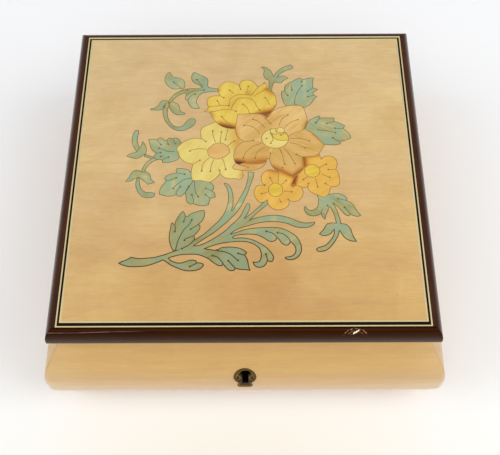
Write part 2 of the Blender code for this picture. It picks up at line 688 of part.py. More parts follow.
def floor_pad():
    """The padded floor of the front compartment, crowned in the middle and drawn in at its edge."""
    x0, x1 = -ROOM_HALF, ROOM_HALF
    y0, y1 = -ROOM_HALF, REAR_DIVIDER_Y - DIVIDER_THICK / 2 - FIT
    columns, rows = 12, 8
    bm = bmesh.new()
    top = []
    for j in range(rows + 1):
        row = []
        for i in range(columns + 1):
            a, b = i / columns, j / rows
            swell = (math.sin(math.pi * a) * math.sin(math.pi * b)) ** 0.35
            up = FLOOR + PAD_THICK - PAD_CROWN + PAD_CROWN * swell
            row.append(bm.verts.new((x0 + (x1 - x0) * a, y0 + (y1 - y0) * b, up)))
        top.append(row)
    for j in range(rows):
        for i in range(columns):
            bm.faces.new((top[j][i], top[j][i + 1], top[j + 1][i + 1], top[j + 1][i]))
    rim = top[0] + [row[-1] for row in top[1:]]
    rim += top[-1][-2::-1] + [row[0] for row in top[-2:0:-1]]
    bottom = [bm.verts.new((v.co.x, v.co.y, FLOOR)) for v in rim]
    skin(bm, rim, bottom)
    bm.faces.new(bottom)
    piece("floor_pad", bm, "velvet")


def ring_rolls():
    """Padded rolls that hold rings between them, side by side in the right-hand compartment."""
    x0 = WORKS_DIVIDER_X + DIVIDER_THICK / 2 + FIT
    x1 = ROOM_HALF
    y0 = REAR_DIVIDER_Y + DIVIDER_THICK / 2 + FIT
    pitch = (ROOM_HALF - y0) / ROLL_COUNT
    radius = (pitch - ROLL_GAP) / 2
    long = x1 - x0
    half_end = [(0.0, 0.0), (0.55, 0.0), (0.85, 0.02), (1.0, 0.07)]
    ends = half_end + [(r, 1 - t) for r, t in half_end[::-1]]
    for i in range(ROLL_COUNT):
        profile = [(radius * r, long * t) for r, t in ends]
        place = (x0, y0 + pitch * (i + 0.5), FLOOR + radius)
        piece(f"ring_roll_{i + 1}", turned(profile, 16, place, "X"), "velvet")


# The music works

def works(u, v, w):
    """A place in the works: u along the cylinder, v across it, w up from the bottom board."""
    return Vector((WORKS_X + u, WORKS_Y + v, FLOOR + w))


def works_box(u0, u1, v0, v1, w0, w1):
    bm = box(u0, u1, v0, v1, w0, w1)
    bmesh.ops.translate(bm, verts=bm.verts, vec=works(0, 0, 0))
    return bm


def works_prism(outline, low, high, axis):
    bm = prism(outline, low, high, axis)
    bmesh.ops.translate(bm, verts=bm.verts, vec=works(0, 0, 0))
    return bm


def stop_place():
    """The stop pin's axis, at the height of the surface that the box stands on."""
    place = works(WORM_MIDDLE, STOP_ACROSS, 0)
    return Vector((place.x, place.y, 0))


def bedplate(base):
    """The cast plate with the comb's pad and the shafts' lugs, and its three fixing screws."""
    made = piece("bedplate", works_box(*BED_LONG, *BED_ACROSS, 0, BED_THICK), "zinc")
    sunk = BED_THICK / 2
    pad_to = -(COMB_TIP + comb_length() - COMB_BACK) - FIT
    pad = works_box(CYLINDER_FROM - PAST, CYLINDER_TO + PAST, BED_ACROSS[0], pad_to, sunk, PAD_TOP)
    half = LUG_WIDE / 2
    left_lug = DRUM_ROUND + PLAY
    left = works_box(left_lug, left_lug + LUG_THICK, -half, half, sunk, CYLINDER_UP + 2 * SHAFT_ROUND)
    side = WORM_MIDDLE - WORM_FACE / 2 - FIT
    right = works_box(RIGHT_LUG, min(RIGHT_LUG + LUG_THICK, side), -half, half / 2, sunk,
                      CYLINDER_UP + 2 * SHAFT_ROUND)
    train_from = CYLINDER_TO - LUG_THICK / 2
    train_low = TRAIN_ACROSS - 2 * TRAIN_SHAFT
    train = works_box(train_from, train_from + LUG_THICK, train_low, TRAIN_ACROSS + 2 * TRAIN_SHAFT,
                      sunk, TRAIN_UP + 2 * TRAIN_SHAFT)
    combine(made, "UNION", cutter("add_comb_pad", pad), cutter("add_left_lug", left),
            cutter("add_right_lug", right), cutter("add_train_lug", train))
    cylinder_axis = works(0, 0, CYLINDER_UP)
    shaft = rod(SHAFT_ROUND + PLAY, left_lug - PAST, RIGHT_LUG + LUG_THICK + PAST, cylinder_axis, "X")
    train_axis = works(0, TRAIN_ACROSS, TRAIN_UP)
    train_bore = rod(TRAIN_SHAFT + PLAY, train_from - PAST, train_from + LUG_THICK + PAST,
                     train_axis, "X")
    arbor = rod(ARBOR_ROUND + PLAY, -PAST, BED_THICK + PAST, works(0, 0, 0))
    combine(made, "DIFFERENCE", cutter("cut_shaft_bore", shaft), cutter("cut_train_bore", train_bore),
            cutter("cut_arbor_bore", arbor))
    arbor_hole = rod(ARBOR_ROUND + PLAY, BASE_HIGH - PAST, BASE_TOP + PAST, (WORKS_X, WORKS_Y, 0))
    combine(base, "DIFFERENCE", cutter("cut_arbor_hole", arbor_hole))
    inset = 4 * FIXING_SCREW[1]
    left, right = BED_LONG[0] + inset, BED_LONG[1] - inset
    near, far = BED_ACROSS[0] + inset, BED_ACROSS[1] - inset
    corners = [(left, near), (left, far), (right, near)]
    for number, (u, v) in enumerate(corners, 1):
        place = works(u, v, 0)
        place.z = BASE_HIGH
        seat = screw(f"fixing_screw_{number}", FIXING_SCREW, place, -1, "steel")[1]
        combine(base, "DIFFERENCE", seat)
        combine(made, "DIFFERENCE", seat)


def comb_length():
    """From the tips of the comb to its back edge."""
    return -BED_ACROSS[0] - COMB_TIP


def comb():
    """The steel comb, one tooth for each note, and the two screws that hold it."""
    pitch = CYLINDER_LONG / NOTES
    back = -(COMB_TIP + comb_length())
    root = back + COMB_BACK
    outline = [(CYLINDER_TO, back), (CYLINDER_TO, root)]
    for i in range(NOTES):
        right = CYLINDER_TO - i * pitch
        left = right - pitch
        tooth = [(right - COMB_SLOT / 2, root), (right - COMB_SLOT / 2, -COMB_TIP),
                 (left + COMB_SLOT / 2, -COMB_TIP), (left + COMB_SLOT / 2, root)]
        outline += tooth
    outline += [(CYLINDER_FROM, root), (CYLINDER_FROM, back)]
    made = piece("comb", works_prism(outline, COMB_UP, COMB_UP + COMB_THICK, "Z"), "steel")
    for number, share in ((1, 0.2), (2, 0.8)):
        u = CYLINDER_FROM + CYLINDER_LONG * share
        place = works(u, back + COMB_BACK / 2, COMB_UP + COMB_THICK)
        seat = screw(f"comb_screw_{number}", COMB_SCREW, place, 1, "steel")[1]
        combine(made, "DIFFERENCE", seat)
        combine(bpy.data.objects["bedplate"], "DIFFERENCE", seat)


def spring_drum(axis):
    """The drum, open below, with the crown of teeth that drives the cylinder on its top."""
    low, top = DRUM_LOW, DRUM_LOW + DRUM_TALL
    hub = ARBOR_ROUND + PLAY
    inner = DRUM_ROUND - DRUM_WALL
    crown = PINION_MIDDLE - CROWN_FACE / 2
    profile = [(hub, top), (crown, top), (crown + CROWN_FACE, top), (DRUM_ROUND, top),
               (DRUM_ROUND, low), (inner, low), (inner, top - DRUM_WALL), (hub, top - DRUM_WALL)]
    bm = bmesh.new()
    step = 2 * math.pi / CROWN_TEETH
    angles = []
    for i in range(CROWN_TEETH):
        angles += [i * step - 0.25 * step, i * step + 0.25 * step]
    loops = []
    for radius, up in profile:
        loops.append([bm.verts.new((radius * math.cos(t), radius * math.sin(t), up)) for t in angles])
    teeth = []
    for number, (loop, other) in enumerate(zip(loops, loops[1:] + loops[:1])):
        for i in range(len(angles)):
            j = (i + 1) % len(angles)
            face = bm.faces.new((loop[i], loop[j], other[j], other[i]))
            if number == 1 and i % 2 == 1:
                teeth.append(face)
    grown = bmesh.ops.extrude_discrete_faces(bm, faces=teeth)["faces"]
    for face in grown:
        middle = face.calc_center_median()
        across = Vector((-middle.y, middle.x, 0)).normalized()
        for corner in face.verts:
            side = (corner.co - middle).dot(across)
            corner.co += Vector((0, 0, CROWN_TALL)) - across * side * 0.5
    bmesh.ops.translate(bm, verts=bm.verts, vec=works(0, 0, 0))
    piece("spring_drum", bm, "brass", axis)


def mainspring(axis):
    """The spring in the drum, as one flat spiral strip."""
    inner = ARBOR_ROUND + 2 * PLAY
    outer = DRUM_ROUND - DRUM_WALL - PLAY - SPRING_THICK
    steps = int(SPRING_TURNS * 16)
    line = []
    for i in range(steps + 1):
        angle = 2 * math.pi * SPRING_TURNS * i / steps
        line.append((inner + (outer - inner) * i / steps, angle))
    inside = [(r * math.cos(t), r * math.sin(t)) for r, t in line]
    outer_line = [(r + SPRING_THICK, t) for r, t in line]
    outside = [(r * math.cos(t), r * math.sin(t)) for r, t in outer_line]
    low = DRUM_LOW + (DRUM_TALL - DRUM_WALL - SPRING_TALL) / 2
    high = low + SPRING_TALL
    corners = ((inside, low), (outside, low), (outside, high), (inside, high))
    bm = bmesh.new()
    rings = [[bm.verts.new((x, y, up)) for x, y in row] for row, up in corners]
    for i in range(steps):
        for ring, other in zip(rings, rings[1:] + rings[:1]):
            bm.faces.new((ring[i], ring[i + 1], other[i + 1], other[i]))
    bm.faces.new([ring[0] for ring in rings])
    bm.faces.new([ring[-1] for ring in rings])
    bmesh.ops.translate(bm, verts=bm.verts, vec=works(0, 0, 0))
    piece("mainspring", bm, "steel", axis)


def winding(axis):
    """The arbor through the drum, and the butterfly key on its foot, in the recess below."""
    place = (WORKS_X, WORKS_Y, 0)
    arbor_low = KEY_FOOT + ARBOR_SHORT
    top = FLOOR + DRUM_LOW + DRUM_TALL + FIT
    piece("winding_arbor", rod(ARBOR_ROUND, arbor_low, top, place), "steel", axis)
    half = KEY_WIDE / 2
    lobe = KEY_TALL / 2
    waist = KEY_WAIST * KEY_HUB
    pinch = KEY_WAIST * lobe
    right = arc((half - lobe, KEY_MIDDLE), lobe, -math.pi / 2, math.pi / 2, 8)
    right = [(waist, KEY_MIDDLE - pinch)] + right + [(waist, KEY_MIDDLE + pinch)]
    outline = right + [(-x, z) for x, z in right[::-1]]
    wings = prism(outline, -KEY_THICK / 2, KEY_THICK / 2, "Y")
    bmesh.ops.translate(wings, verts=wings.verts, vec=place)
    key = piece("winding_key", wings, "steel", axis)
    hub_top = KEY_FOOT + KEY_HUB_TALL
    hub = rod(KEY_HUB, KEY_FOOT, hub_top, place, sides=16)
    combine(key, "UNION", cutter("add_key_hub", hub))
    bore = rod(ARBOR_ROUND + FIT, arbor_low - FIT, hub_top + PAST, place)
    tools = [cutter("cut_key_bore", bore)]
    for side, word in ((-1, "left"), (1, "right")):
        centre = (WORKS_X + side * (half - lobe), WORKS_Y, KEY_MIDDLE)
        eye = rod(KEY_EYE, -KEY_THICK, KEY_THICK, centre, "Y")
        tools.append(cutter("cut_key_eye_" + word, eye))
    combine(key, "DIFFERENCE", *tools)


def pinned_cylinder(axis):
    """The cylinder with its pins, its wheel, its pinion over the drum's crown, and its shaft."""
    columns = 2 * NOTES + 1
    sides = CYLINDER_SIDES
    bm = bmesh.new()
    loops = []
    for i in range(columns + 1):
        u = CYLINDER_FROM + CYLINDER_LONG * i / columns
        angles = [2 * math.pi * k / sides for k in range(sides)]
        ring = [(CYLINDER_ROUND * math.cos(t), CYLINDER_ROUND * math.sin(t)) for t in angles]
        loops.append([bm.verts.new((u, v, w)) for v, w in ring])
    pins = []
    for i, (loop, other) in enumerate(zip(loops, loops[1:])):
        for k in range(sides):
            after = (k + 1) % sides
            face = bm.faces.new((loop[k], loop[after], other[after], other[k]))
            note = i // 2
            if i % 2 == 1 and (5 * k + 7 * note + note * note) % 11 < 2:
                pins.append(face)
    bm.faces.new(loops[0])
    bm.faces.new(loops[-1])
    bmesh.ops.recalc_face_normals(bm, faces=bm.faces)
    for face in bmesh.ops.extrude_discrete_faces(bm, faces=pins)["faces"]:
        middle = face.calc_center_median()
        out = Vector((0, middle.y, middle.z)).normalized()
        for corner in face.verts:
            corner.co = middle + (corner.co - middle) * 0.45 + out * PIN_TALL
    bmesh.ops.translate(bm, verts=bm.verts, vec=works(0, 0, CYLINDER_UP))
    made = piece("pinned_cylinder", bm, "brass", axis)

    centre = works(0, 0, CYLINDER_UP)
    start = PINION_MIDDLE - PINION_FACE / 2
    pinion = gear_outline(PINION_TEETH, CROWN_MODULE, PINION_SHAPE, -math.pi / 2)
    wheel = gear_outline(WHEEL_TEETH, WHEEL_MODULE, WHEEL_SHAPE, train_bearing())
    shaft = rod(SHAFT_ROUND, start, RIGHT_LUG + LUG_THICK, centre, "X")
    tools = []
    for name, outline, low, high in (("add_pinion", pinion, start, start + PINION_FACE),
                                     ("add_wheel", wheel, WHEEL_FROM, WHEEL_TO)):
        part = prism(outline, low, high, "X")
        bmesh.ops.translate(part, verts=part.verts, vec=centre)
        tools.append(cutter(name, part))
    combine(made, "UNION", cutter("add_shaft", shaft), *tools)


def train_bearing():
    """The direction, in (v, w), from the cylinder's axis to the train wheel's."""
    return math.atan2(TRAIN_UP - CYLINDER_UP, TRAIN_ACROSS)


def train_wheel(axis):
    """The shaft with a small pinion, driven by the cylinder, and the wheel that drives the worm."""
    centre = works(0, TRAIN_ACROSS, TRAIN_UP)
    start = CYLINDER_TO - LUG_THICK / 2 - FIT
    end = BRACKET_FROM + BRACKET_THICK
    made = piece("train_wheel", rod(TRAIN_SHAFT, start, end, centre, "X"), "brass", axis)
    between = train_bearing() + math.pi + math.pi / TRAIN_TEETH
    pinion = gear_outline(TRAIN_TEETH, WHEEL_MODULE, TRAIN_SHAPE, between)
    wheel = gear_outline(WORM_TEETH, WORM_MODULE, WORM_SHAPE)
    tools = []
    for name, outline, low, high in (
        ("add_train_pinion", pinion, WHEEL_FROM, WHEEL_TO),
        ("add_worm_wheel", wheel, WORM_MIDDLE - WORM_FACE / 2, WORM_MIDDLE + WORM_FACE / 2),
    ):
        part = prism(outline, low, high, "X")
        bmesh.ops.translate(part, verts=part.verts, vec=centre)
        tools.append(cutter(name, part))
    combine(made, "UNION", *tools)


def governor(axis):
    """The worm, whose one thread runs free between the wheel's teeth, and the fan above it."""
    place = works(WORM_MIDDLE, WORM_ACROSS, 0)
    pitch = WORM_PITCH
    sides, rings_per_turn = 12, 10
    low = TRAIN_UP - pitch * WORM_TURNS / 2
    facing_wheel = -math.pi / 2
    bm = bmesh.new()
    loops = []
    for k in range(WORM_TURNS * rings_per_turn + 1):
        up = low + pitch * k / rings_per_turn
        loop = []
        for i in range(sides):
            angle = 2 * math.pi * i / sides
            # the thread's crest stands half a pitch from the wheel's tooth where they meet
            turn = (angle - facing_wheel) / (2 * math.pi)
            phase = ((up - TRAIN_UP) / pitch - turn + 0.5) % 1.0
            from_crest = min(phase, 1 - phase)
            share = min(1, max(0, (0.28 - from_crest) / 0.14))
            fade = min(1, k / rings_per_turn, (WORM_TURNS * rings_per_turn - k) / rings_per_turn)
            radius = WORM_CORE + (WORM_CREST - WORM_CORE) * share * fade
            loop.append(bm.verts.new((radius * math.cos(angle), radius * math.sin(angle), up)))
        loops.append(loop)
    for loop, other in zip(loops, loops[1:]):
        skin(bm, loop, other)
    bm.faces.new(loops[0])
    bm.faces.new(loops[-1])
    bmesh.ops.translate(bm, verts=bm.verts, vec=place)
    made = piece("governor", bm, "steel", axis)
    shaft = rod(TRAIN_SHAFT, BED_THICK + FIT, GOVERNOR_TOP, place)
    half = FAN_WIDE / 2
    thick = FAN_THICK / 2
    fan = box(-half, half, -thick, thick, FAN_LOW, FAN_LOW + FAN_TALL)
    bmesh.ops.translate(fan, verts=fan.verts, vec=place)
    combine(made, "UNION", cutter("add_governor_shaft", shaft), cutter("add_fan", fan))


def governor_bracket():
    """A bent plate that carries the ends of the train wheel and the governor, and guides the
    stop pin."""
    foot = BED_THICK + FIT
    u1 = BRACKET_FROM + BRACKET_THICK
    u0 = u1 - BRACKET_REACH
    arm_top = ARM_LOW + BRACKET_THICK
    toe = BRACKET_FROM - BRACKET_THICK
    outline = [(u1, foot), (u1, arm_top), (u0, arm_top), (u0, ARM_LOW), (BRACKET_FROM, ARM_LOW),
               (BRACKET_FROM, foot + BRACKET_THICK), (toe, foot + BRACKET_THICK), (toe, foot)]
    across = (TRAIN_ACROSS - 3 * TRAIN_SHAFT, STOP_ACROSS + 2 * STOP_ROUND)
    made = piece("governor_bracket", works_prism(outline, *across, "Y"), "zinc")
    train_axis = works(0, TRAIN_ACROSS, TRAIN_UP)
    bore = rod(TRAIN_SHAFT + PLAY, BRACKET_FROM - PAST, u1 + PAST, train_axis, "X")
    guide = rod(STOP_ROUND + PLAY, FLOOR + ARM_LOW - PAST, FLOOR + arm_top + PAST, stop_place())
    combine(made, "DIFFERENCE", cutter("cut_bracket_bore", bore), cutter("cut_stop_guide", guide))


def stop_pin(axis):
    """The wire that the shut lid holds down, with the finger that catches the fan."""
    place = stop_place()
    finger_up = FLOOR + ARM_LOW - FIT - STOP_LIFT - STOP_FINGER
    pin = rod(STOP_ROUND, finger_up - FIT, CASE_HEIGHT, place)
    made = piece("stop_pin", pin, "steel", axis)
    half = STOP_FINGER / 2
    near = works(0, WORM_ACROSS + FAN_WIDE / 2 + PLAY, 0).y
    finger = box(place.x - half, place.x + half, near, place.y, finger_up, finger_up + STOP_FINGER)
    combine(made, "UNION", cutter("add_finger", finger))


def main():
    for old in list(bpy.data.objects):
        bpy.data.objects.remove(old)
    lid = pivot("lid_pivot", PIVOT)
    bolt = pivot("bolt_slide", Vector((0, -(INNER_HALF + FIT + LOCK_DEEP / 2), CASE_HEIGHT)))
    drum = pivot("drum_axis", works(0, 0, DRUM_LOW))
    cylinder = pivot("cylinder_axis", works(0, 0, CYLINDER_UP))
    train = pivot("train_axis", works(0, TRAIN_ACROSS, TRAIN_UP))
    governor_axis = pivot("governor_axis", works(WORM_MIDDLE, WORM_ACROSS, TRAIN_UP))
    key = pivot("key_axis", Vector((WORKS_X, WORKS_Y, KEY_FOOT)))
    stop = pivot("stop_slide", stop_place())

    walls = case_walls()
    base = base_board()
    panel = lid_panel(lid)
    stringing(lid)
    strips = mouldings(lid)
    mirror(lid)
    escutcheon(walls["front_wall"])
    box_lock(walls["front_wall"], panel, lid, bolt)
    for word, side in (("left", -1), ("right", 1)):
        hinge(word, side * HINGE_X, walls["back_wall"], panel, strips["moulding_back"], lid)
    lining()
    dividers()
    works_cover()
    floor_pad()
    ring_rolls()

    bedplate(base)
    comb()
    spring_drum(drum)
    mainspring(drum)
    winding(key)
    pinned_cylinder(cylinder)
    train_wheel(train)
    governor(governor_axis)
    governor_bracket()
    stop_pin(stop)


main()
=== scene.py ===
"""The looks of the musical jewelry box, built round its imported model. Lengths are in metres."""
import math

import bmesh
import bpy
import numpy
from mathutils import Matrix, Vector
from mathutils.geometry import delaunay_2d_cdt


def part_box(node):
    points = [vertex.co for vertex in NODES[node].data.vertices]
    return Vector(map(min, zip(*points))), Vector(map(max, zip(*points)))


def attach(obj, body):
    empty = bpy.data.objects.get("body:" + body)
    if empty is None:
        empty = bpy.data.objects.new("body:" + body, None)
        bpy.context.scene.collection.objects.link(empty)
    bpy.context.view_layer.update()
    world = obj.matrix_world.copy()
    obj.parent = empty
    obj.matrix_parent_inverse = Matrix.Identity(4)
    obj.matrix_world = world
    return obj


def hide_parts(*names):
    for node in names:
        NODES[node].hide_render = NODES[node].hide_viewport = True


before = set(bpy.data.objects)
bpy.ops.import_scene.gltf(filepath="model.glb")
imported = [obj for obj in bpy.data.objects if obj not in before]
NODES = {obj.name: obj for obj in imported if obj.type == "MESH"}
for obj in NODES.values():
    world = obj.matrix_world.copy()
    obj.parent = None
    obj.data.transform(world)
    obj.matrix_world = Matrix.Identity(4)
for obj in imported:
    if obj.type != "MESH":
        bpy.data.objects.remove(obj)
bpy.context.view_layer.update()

MM = 0.001
SIDES = ("front", "right", "back", "left")

# Sizes of the box, as the model has them
LID_LOW = 53.0 * MM
LID_TOP = 62.0 * MM
LIPPED = 75.62 * MM           # outer edge of the lid board
RECESS = (53.75 * MM, 55.4 * MM)   # half side and ceiling of the recess for the mirror
REBATE = 60.8 * MM            # floor of the bed that the strings lie in
CASE_HEIGHT = 52.7 * MM
TOP_HALF = 74.0 * MM
WIDE_HALF = 86.2 * MM
INNER_HALF = 67.0 * MM
HEEL_ROUND = 17.8 * MM
HEEL_TURN = math.radians(76.2)
BELLY_ROUND = 34.7 * MM
BELLY_FLAT = 3.9 * MM
FLOOR = 16.3 * MM
HAIR = 0.02 * MM              # gap left in a tight glued joint
MITRE = 0.05 * MM             # gap in the mitres of the walls
HINGE_X = 42 * MM
HINGE_HALF = 12.55 * MM       # half the length of a hinge's bed
HINGE_PIN = (76.6 * MM, 51.1 * MM)
HINGE_BED = 69.0 * MM         # inner end of a hinge's bed in the wall
HINGE_SUNK = 1.02 * MM        # how deep its beds are
KNUCKLE_BED = 1.9 * MM        # radius of the hollow that its knuckles turn in
LID_BED_END = 78.6 * MM       # outer end of its bed in the lid
FACE_PLATE = 1.0 * MM         # thickness of the lock's face plate
LOCK_HALF = 12.1 * MM         # half the width of the bed of the lock's case
BOLT_ROOM = (4.4 * MM, -71.6 * MM, -69.0 * MM)     # half width, front and back of its hollow
BOLT_DEPTH = 5.0 * MM         # how deep that hollow in the lid is
PAST = 0.1                    # a place outside the box, where cutting shapes may end

# Height and size of the rounding of the case's upright corners, in millimetres
CORNERS = ((0, 17.0), (16, 2.4), (20, 2.4), (45, 0.6))

# The lipping's face is a quarter of an oval. Its reach and width go round from the front
LIP_FALL = 7.4 * MM
LIP_ROUND_LOW = 1.0 * MM
LIP_REACH = (79.2 * MM, 79.7 * MM, 78.8 * MM, 79.7 * MM)
LIP_INSET = (3.45 * MM, 3.5 * MM, 3.5 * MM, 3.5 * MM)
CHIP = (44.6 * MM, -77.8 * MM, 61.5 * MM)          # middle of the knock's marks in the lacquer
DENT = (44.6 * MM, -78.3 * MM, 61.6 * MM)          # middle of the dent that it left
DENT_SIZE = (1.5 * MM, 0.4 * MM, 0.4 * MM)

# The edges of the three strings, from the middle of the lid out, and round from the front
SIDE_LINES = (72.8 * MM, 73.55 * MM, 74.4 * MM, 75.0 * MM)
LINES = ((72.95 * MM, 73.7 * MM, 75.05 * MM, 75.6 * MM), SIDE_LINES,
         (72.5 * MM, 73.1 * MM, 73.8 * MM, 74.6 * MM), SIDE_LINES)

# The keyhole plate: the middles of its round part and of the hole's, and their sizes
PLATE = (0.15 * MM, 29.3 * MM)
PLATE_ROUND = 4.85 * MM
PLATE_TALL = 5.85 * MM
PLATE_NECK = 3.0 * MM         # half its width where the round part ends
PLATE_DEEP = 0.6 * MM         # how far it is let into the wall
PLATE_RIM = 0.12 * MM         # its relief starts this far from an edge
PLATE_GRID = 0.2 * MM         # between the points of its surface
PLATE_STEP = 0.22 * MM        # between the points along its edges
KEYHOLE = (0.33 * MM, 32.3 * MM)
KEYHOLE_SIZE = (2.4 * MM, 1.7 * MM)
SLOT_HALF = 1.3 * MM
SLOT_LOW = 24.3 * MM

# The bore in the wall behind it: the foot of its slot, and the size of its round part
BORE_FOOT = [(-1.8 * MM, 23.6 * MM), (2.4 * MM, 23.6 * MM)]
BORE_SIZE = (3.3 * MM, 2.4 * MM)
BORE_TURN = 0.85              # the angle below level at which the round part meets the slot


# Nodes

class Look:
    """A material and short ways to add and join its nodes."""

    def __init__(self, name, **sockets):
        self.material = bpy.data.materials.new(name)
        self.material.use_nodes = True
        self.tree = self.material.node_tree
        self.shader = self.tree.nodes["Principled BSDF"]
        self.place = self.node("ShaderNodeTexCoord").outputs["Object"]
        self.finish(**sockets)

    def put(self, node, socket, value):
        """Sets a socket to a number or colour, or links it to another socket."""
        target = node.inputs[socket]
        if isinstance(value, bpy.types.NodeSocket):
            self.tree.links.new(value, target)
        elif isinstance(value, tuple) and len(value) == 3 and target.type == "RGBA":
            target.default_value = (*value, 1)
        else:
            target.default_value = value

    def node(self, kind, inputs=None, **settings):
        made = self.tree.nodes.new(kind)
        for name, value in settings.items():
            setattr(made, name, value)
        for socket, value in (inputs or {}).items():
            self.put(made, socket, value)
        return made

    def noise(self, scale, detail=3.0, rough=0.5, bend=0.0, vector=None):
        """Noise of so many waves per metre: one number, or one for each axis."""
        vector = self.place if vector is None else vector
        if isinstance(scale, tuple):
            vector = self.node("ShaderNodeVectorMath", {0: vector, 1: scale},
                               operation="MULTIPLY").outputs[0]
            scale = 1.0
        return self.node("ShaderNodeTexNoise", {
            "Vector": vector, "Scale": scale, "Detail": detail, "Roughness": rough,
            "Distortion": bend}).outputs["Fac"]

    def ramp(self, value, *stops):
        """A ramp through (place, colour) stops."""
        made = self.node("ShaderNodeValToRGB", {"Fac": value})
        line = made.color_ramp.elements
        while len(line) < len(stops):
            line.new(0.5)
        for element, (place, tone) in zip(line, stops):
            element.position = place
            element.color = (*tone, 1)
        return made.outputs["Color"]

    def spread(self, value, low=0.35, high=0.65):
        """The value carried from low..high to 0..1."""
        return self.node("ShaderNodeMapRange", {
            "Value": value, "From Min": low, "From Max": high}).outputs[0]

    def math(self, operation, a, b=0.0, c=0.0, clamp=False):
        return self.node("ShaderNodeMath", {0: a, 1: b, 2: c}, operation=operation,
                         use_clamp=clamp).outputs[0]

    def times(self, a, b):
        return self.math("MULTIPLY", a, b)

    def plus(self, a, b, clamp=False):
        return self.math("ADD", a, b, clamp=clamp)

    def minus(self, a, b):
        return self.math("SUBTRACT", a, b)

    def line(self, value, slope, start):
        """The value times the slope, added to the start."""
        return self.math("MULTIPLY_ADD", value, slope, start)

    def blend(self, a, share, b, other):
        """Both values, each times its share, added up."""
        return self.plus(self.times(a, share), self.times(b, other))

    def length(self, a, b):
        pair = self.node("ShaderNodeCombineXYZ", {0: a, 1: b})
        return self.node("ShaderNodeVectorMath", {0: pair.outputs[0]},
                         operation="LENGTH").outputs["Value"]

    def mix(self, share, a, b, blend="MIX"):
        made = self.node("ShaderNodeMix", data_type="RGBA", blend_type=blend)
        for index, value in ((0, share), (6, a), (7, b)):
            self.put(made, index, value)
        return made.outputs[2]

    def tint(self, colour, by):
        return self.mix(1.0, colour, by, "MULTIPLY")

    def parts(self, vector):
        made = self.node("ShaderNodeSeparateXYZ", {"Vector": vector})
        return made.outputs[0], made.outputs[1], made.outputs[2]

    def attribute(self, name, output="Fac"):
        return self.node("ShaderNodeAttribute", attribute_name=name).outputs[output]

    def bump(self, height, distance, strength=1.0, normal=None):
        inputs = {"Height": height, "Distance": distance, "Strength": strength}
        if normal is not None:
            inputs["Normal"] = normal
        return self.node("ShaderNodeBump", inputs).outputs[0]

    def finish(self, **sockets):
        for socket, value in sockets.items():
            self.put(self.shader, socket.replace("_", " "), value)
        return self.material


def rgb(red, green, blue):
    """A linear colour from its everyday 0 to 255 values."""
    def linear(value):
        share = value / 255
        return share / 12.92 if share <= 0.04045 else ((share + 0.055) / 1.055) ** 2.4
    return (linear(red), linear(green), linear(blue))


def stretched(along, long, across):
    """A scale of noise that is drawn out along one axis."""
    return tuple(long if axis == along else across for axis in "XYZ")


# Materials

def wood(name, tones, deep, along, mottle=0.5, rings=0.12, streak=0.12, fibre=0.12,
         roughness=0.3, coat=0.3, specular=0.5, tint=(255, 255, 255), layout=None, mark=None):
    """Lacquered wood: drifts between three tones, growth lines that are sharp on one side,
    streaks and fine fibre along one axis."""
    look = Look(name, Coat_Weight=coat, Coat_Roughness=0.08, Specular_IOR_Level=specular,
                Specular_Tint=rgb(*tint))
    pale, other, third = (rgb(*tone) for tone in tones)
    drift = look.spread(look.noise(stretched(along, 17, 44), 3.0, 0.5, 0.6), 0.38, 0.62)
    fleck = look.spread(look.noise(stretched(along, 90, 300), 5.0, 0.7, 0.3), 0.42, 0.62)
    colour = look.mix(look.times(fleck, mottle), look.mix(drift, pale, other), third)
    if layout:
        colour = layout(look, colour)
    flow = look.noise(stretched(along, 5, 17), 1.5, 0.45, 0.5)
    ring = look.math("POWER", look.math("FRACT", look.times(flow, 12.0)), 3.0)
    bands = look.spread(look.noise(stretched(along, 22, 320), 3.0, 0.6))
    fine = look.noise(stretched(along, 150, 1300), 4.0, 0.7)
    dark = look.plus(look.blend(ring, rings, bands, streak),
                     look.times(look.spread(fine, 0.3, 0.7), fibre), clamp=True)
    colour = look.mix(dark, colour, rgb(*deep))
    if mark:
        colour = mark(look, colour)
    normal = look.bump(look.noise(40.0, 1.0), 0.0003, 0.3)
    normal = look.bump(fine, 0.00001, 0.6, normal)
    return look.finish(Base_Color=colour, Roughness=look.line(fine, 0.1, roughness - 0.05),
                       Normal=normal, Coat_Normal=normal)


def lid_layout(look, colour):
    """The lid's veneer is pinker at the back and left, more golden towards the front and right,
    with a redder patch below the bouquet and a few small pin knots."""
    x, y, z = look.parts(look.place)
    for along, *stops in (
            (y, (0.0, rgb(243, 229, 198)), (0.5, rgb(252, 249, 240)), (1.0, rgb(252, 255, 255))),
            (x, (0.0, rgb(252, 254, 252)), (0.45, rgb(248, 246, 248)), (1.0, rgb(255, 255, 247)))):
        colour = look.tint(colour, look.ramp(look.line(along, 6.2, 0.5), *stops))
    cloud = look.spread(look.noise(32.0, 5.0, 0.65, 1.0), 0.38, 0.62)
    colour = look.tint(colour, look.mix(cloud, rgb(255, 255, 253), rgb(245, 239, 229)))
    bent = look.times(look.noise(30.0, 2.0), 0.05)
    reach = look.length(look.times(x, 0.6), look.plus(look.plus(y, 0.026), bent))
    patch = look.times(look.spread(reach, 0.034, 0.008), 0.75)
    colour = look.mix(patch, colour, look.tint(colour, rgb(242, 226, 206)))
    knots = look.node("ShaderNodeTexVoronoi", {"Vector": look.place, "Scale": 46.0}).outputs[0]
    return look.mix(look.times(look.spread(knots, 0.05, 0.02), 0.12), colour, rgb(150, 96, 56))


def case_painted_shade_and_corners(look, colour):
    """Painted shade: the case is darker and warmer towards its top, for the shadow of the lid above
    it. It is also paler near the corners.
    """
    x, y, z = look.parts(look.place)
    # painted shadow of the lid: the top of the case is tinted darker
    colour = look.tint(colour, look.ramp(look.times(z, 20.0), (0.72, rgb(255, 255, 255)),
                                         (0.98, rgb(250, 243, 226))))
    near = look.math("MINIMUM", look.math("ABSOLUTE", x), look.math("ABSOLUTE", y))
    return look.mix(look.times(look.spread(near, 0.066, 0.086), 0.3), colour, rgb(224, 194, 146))


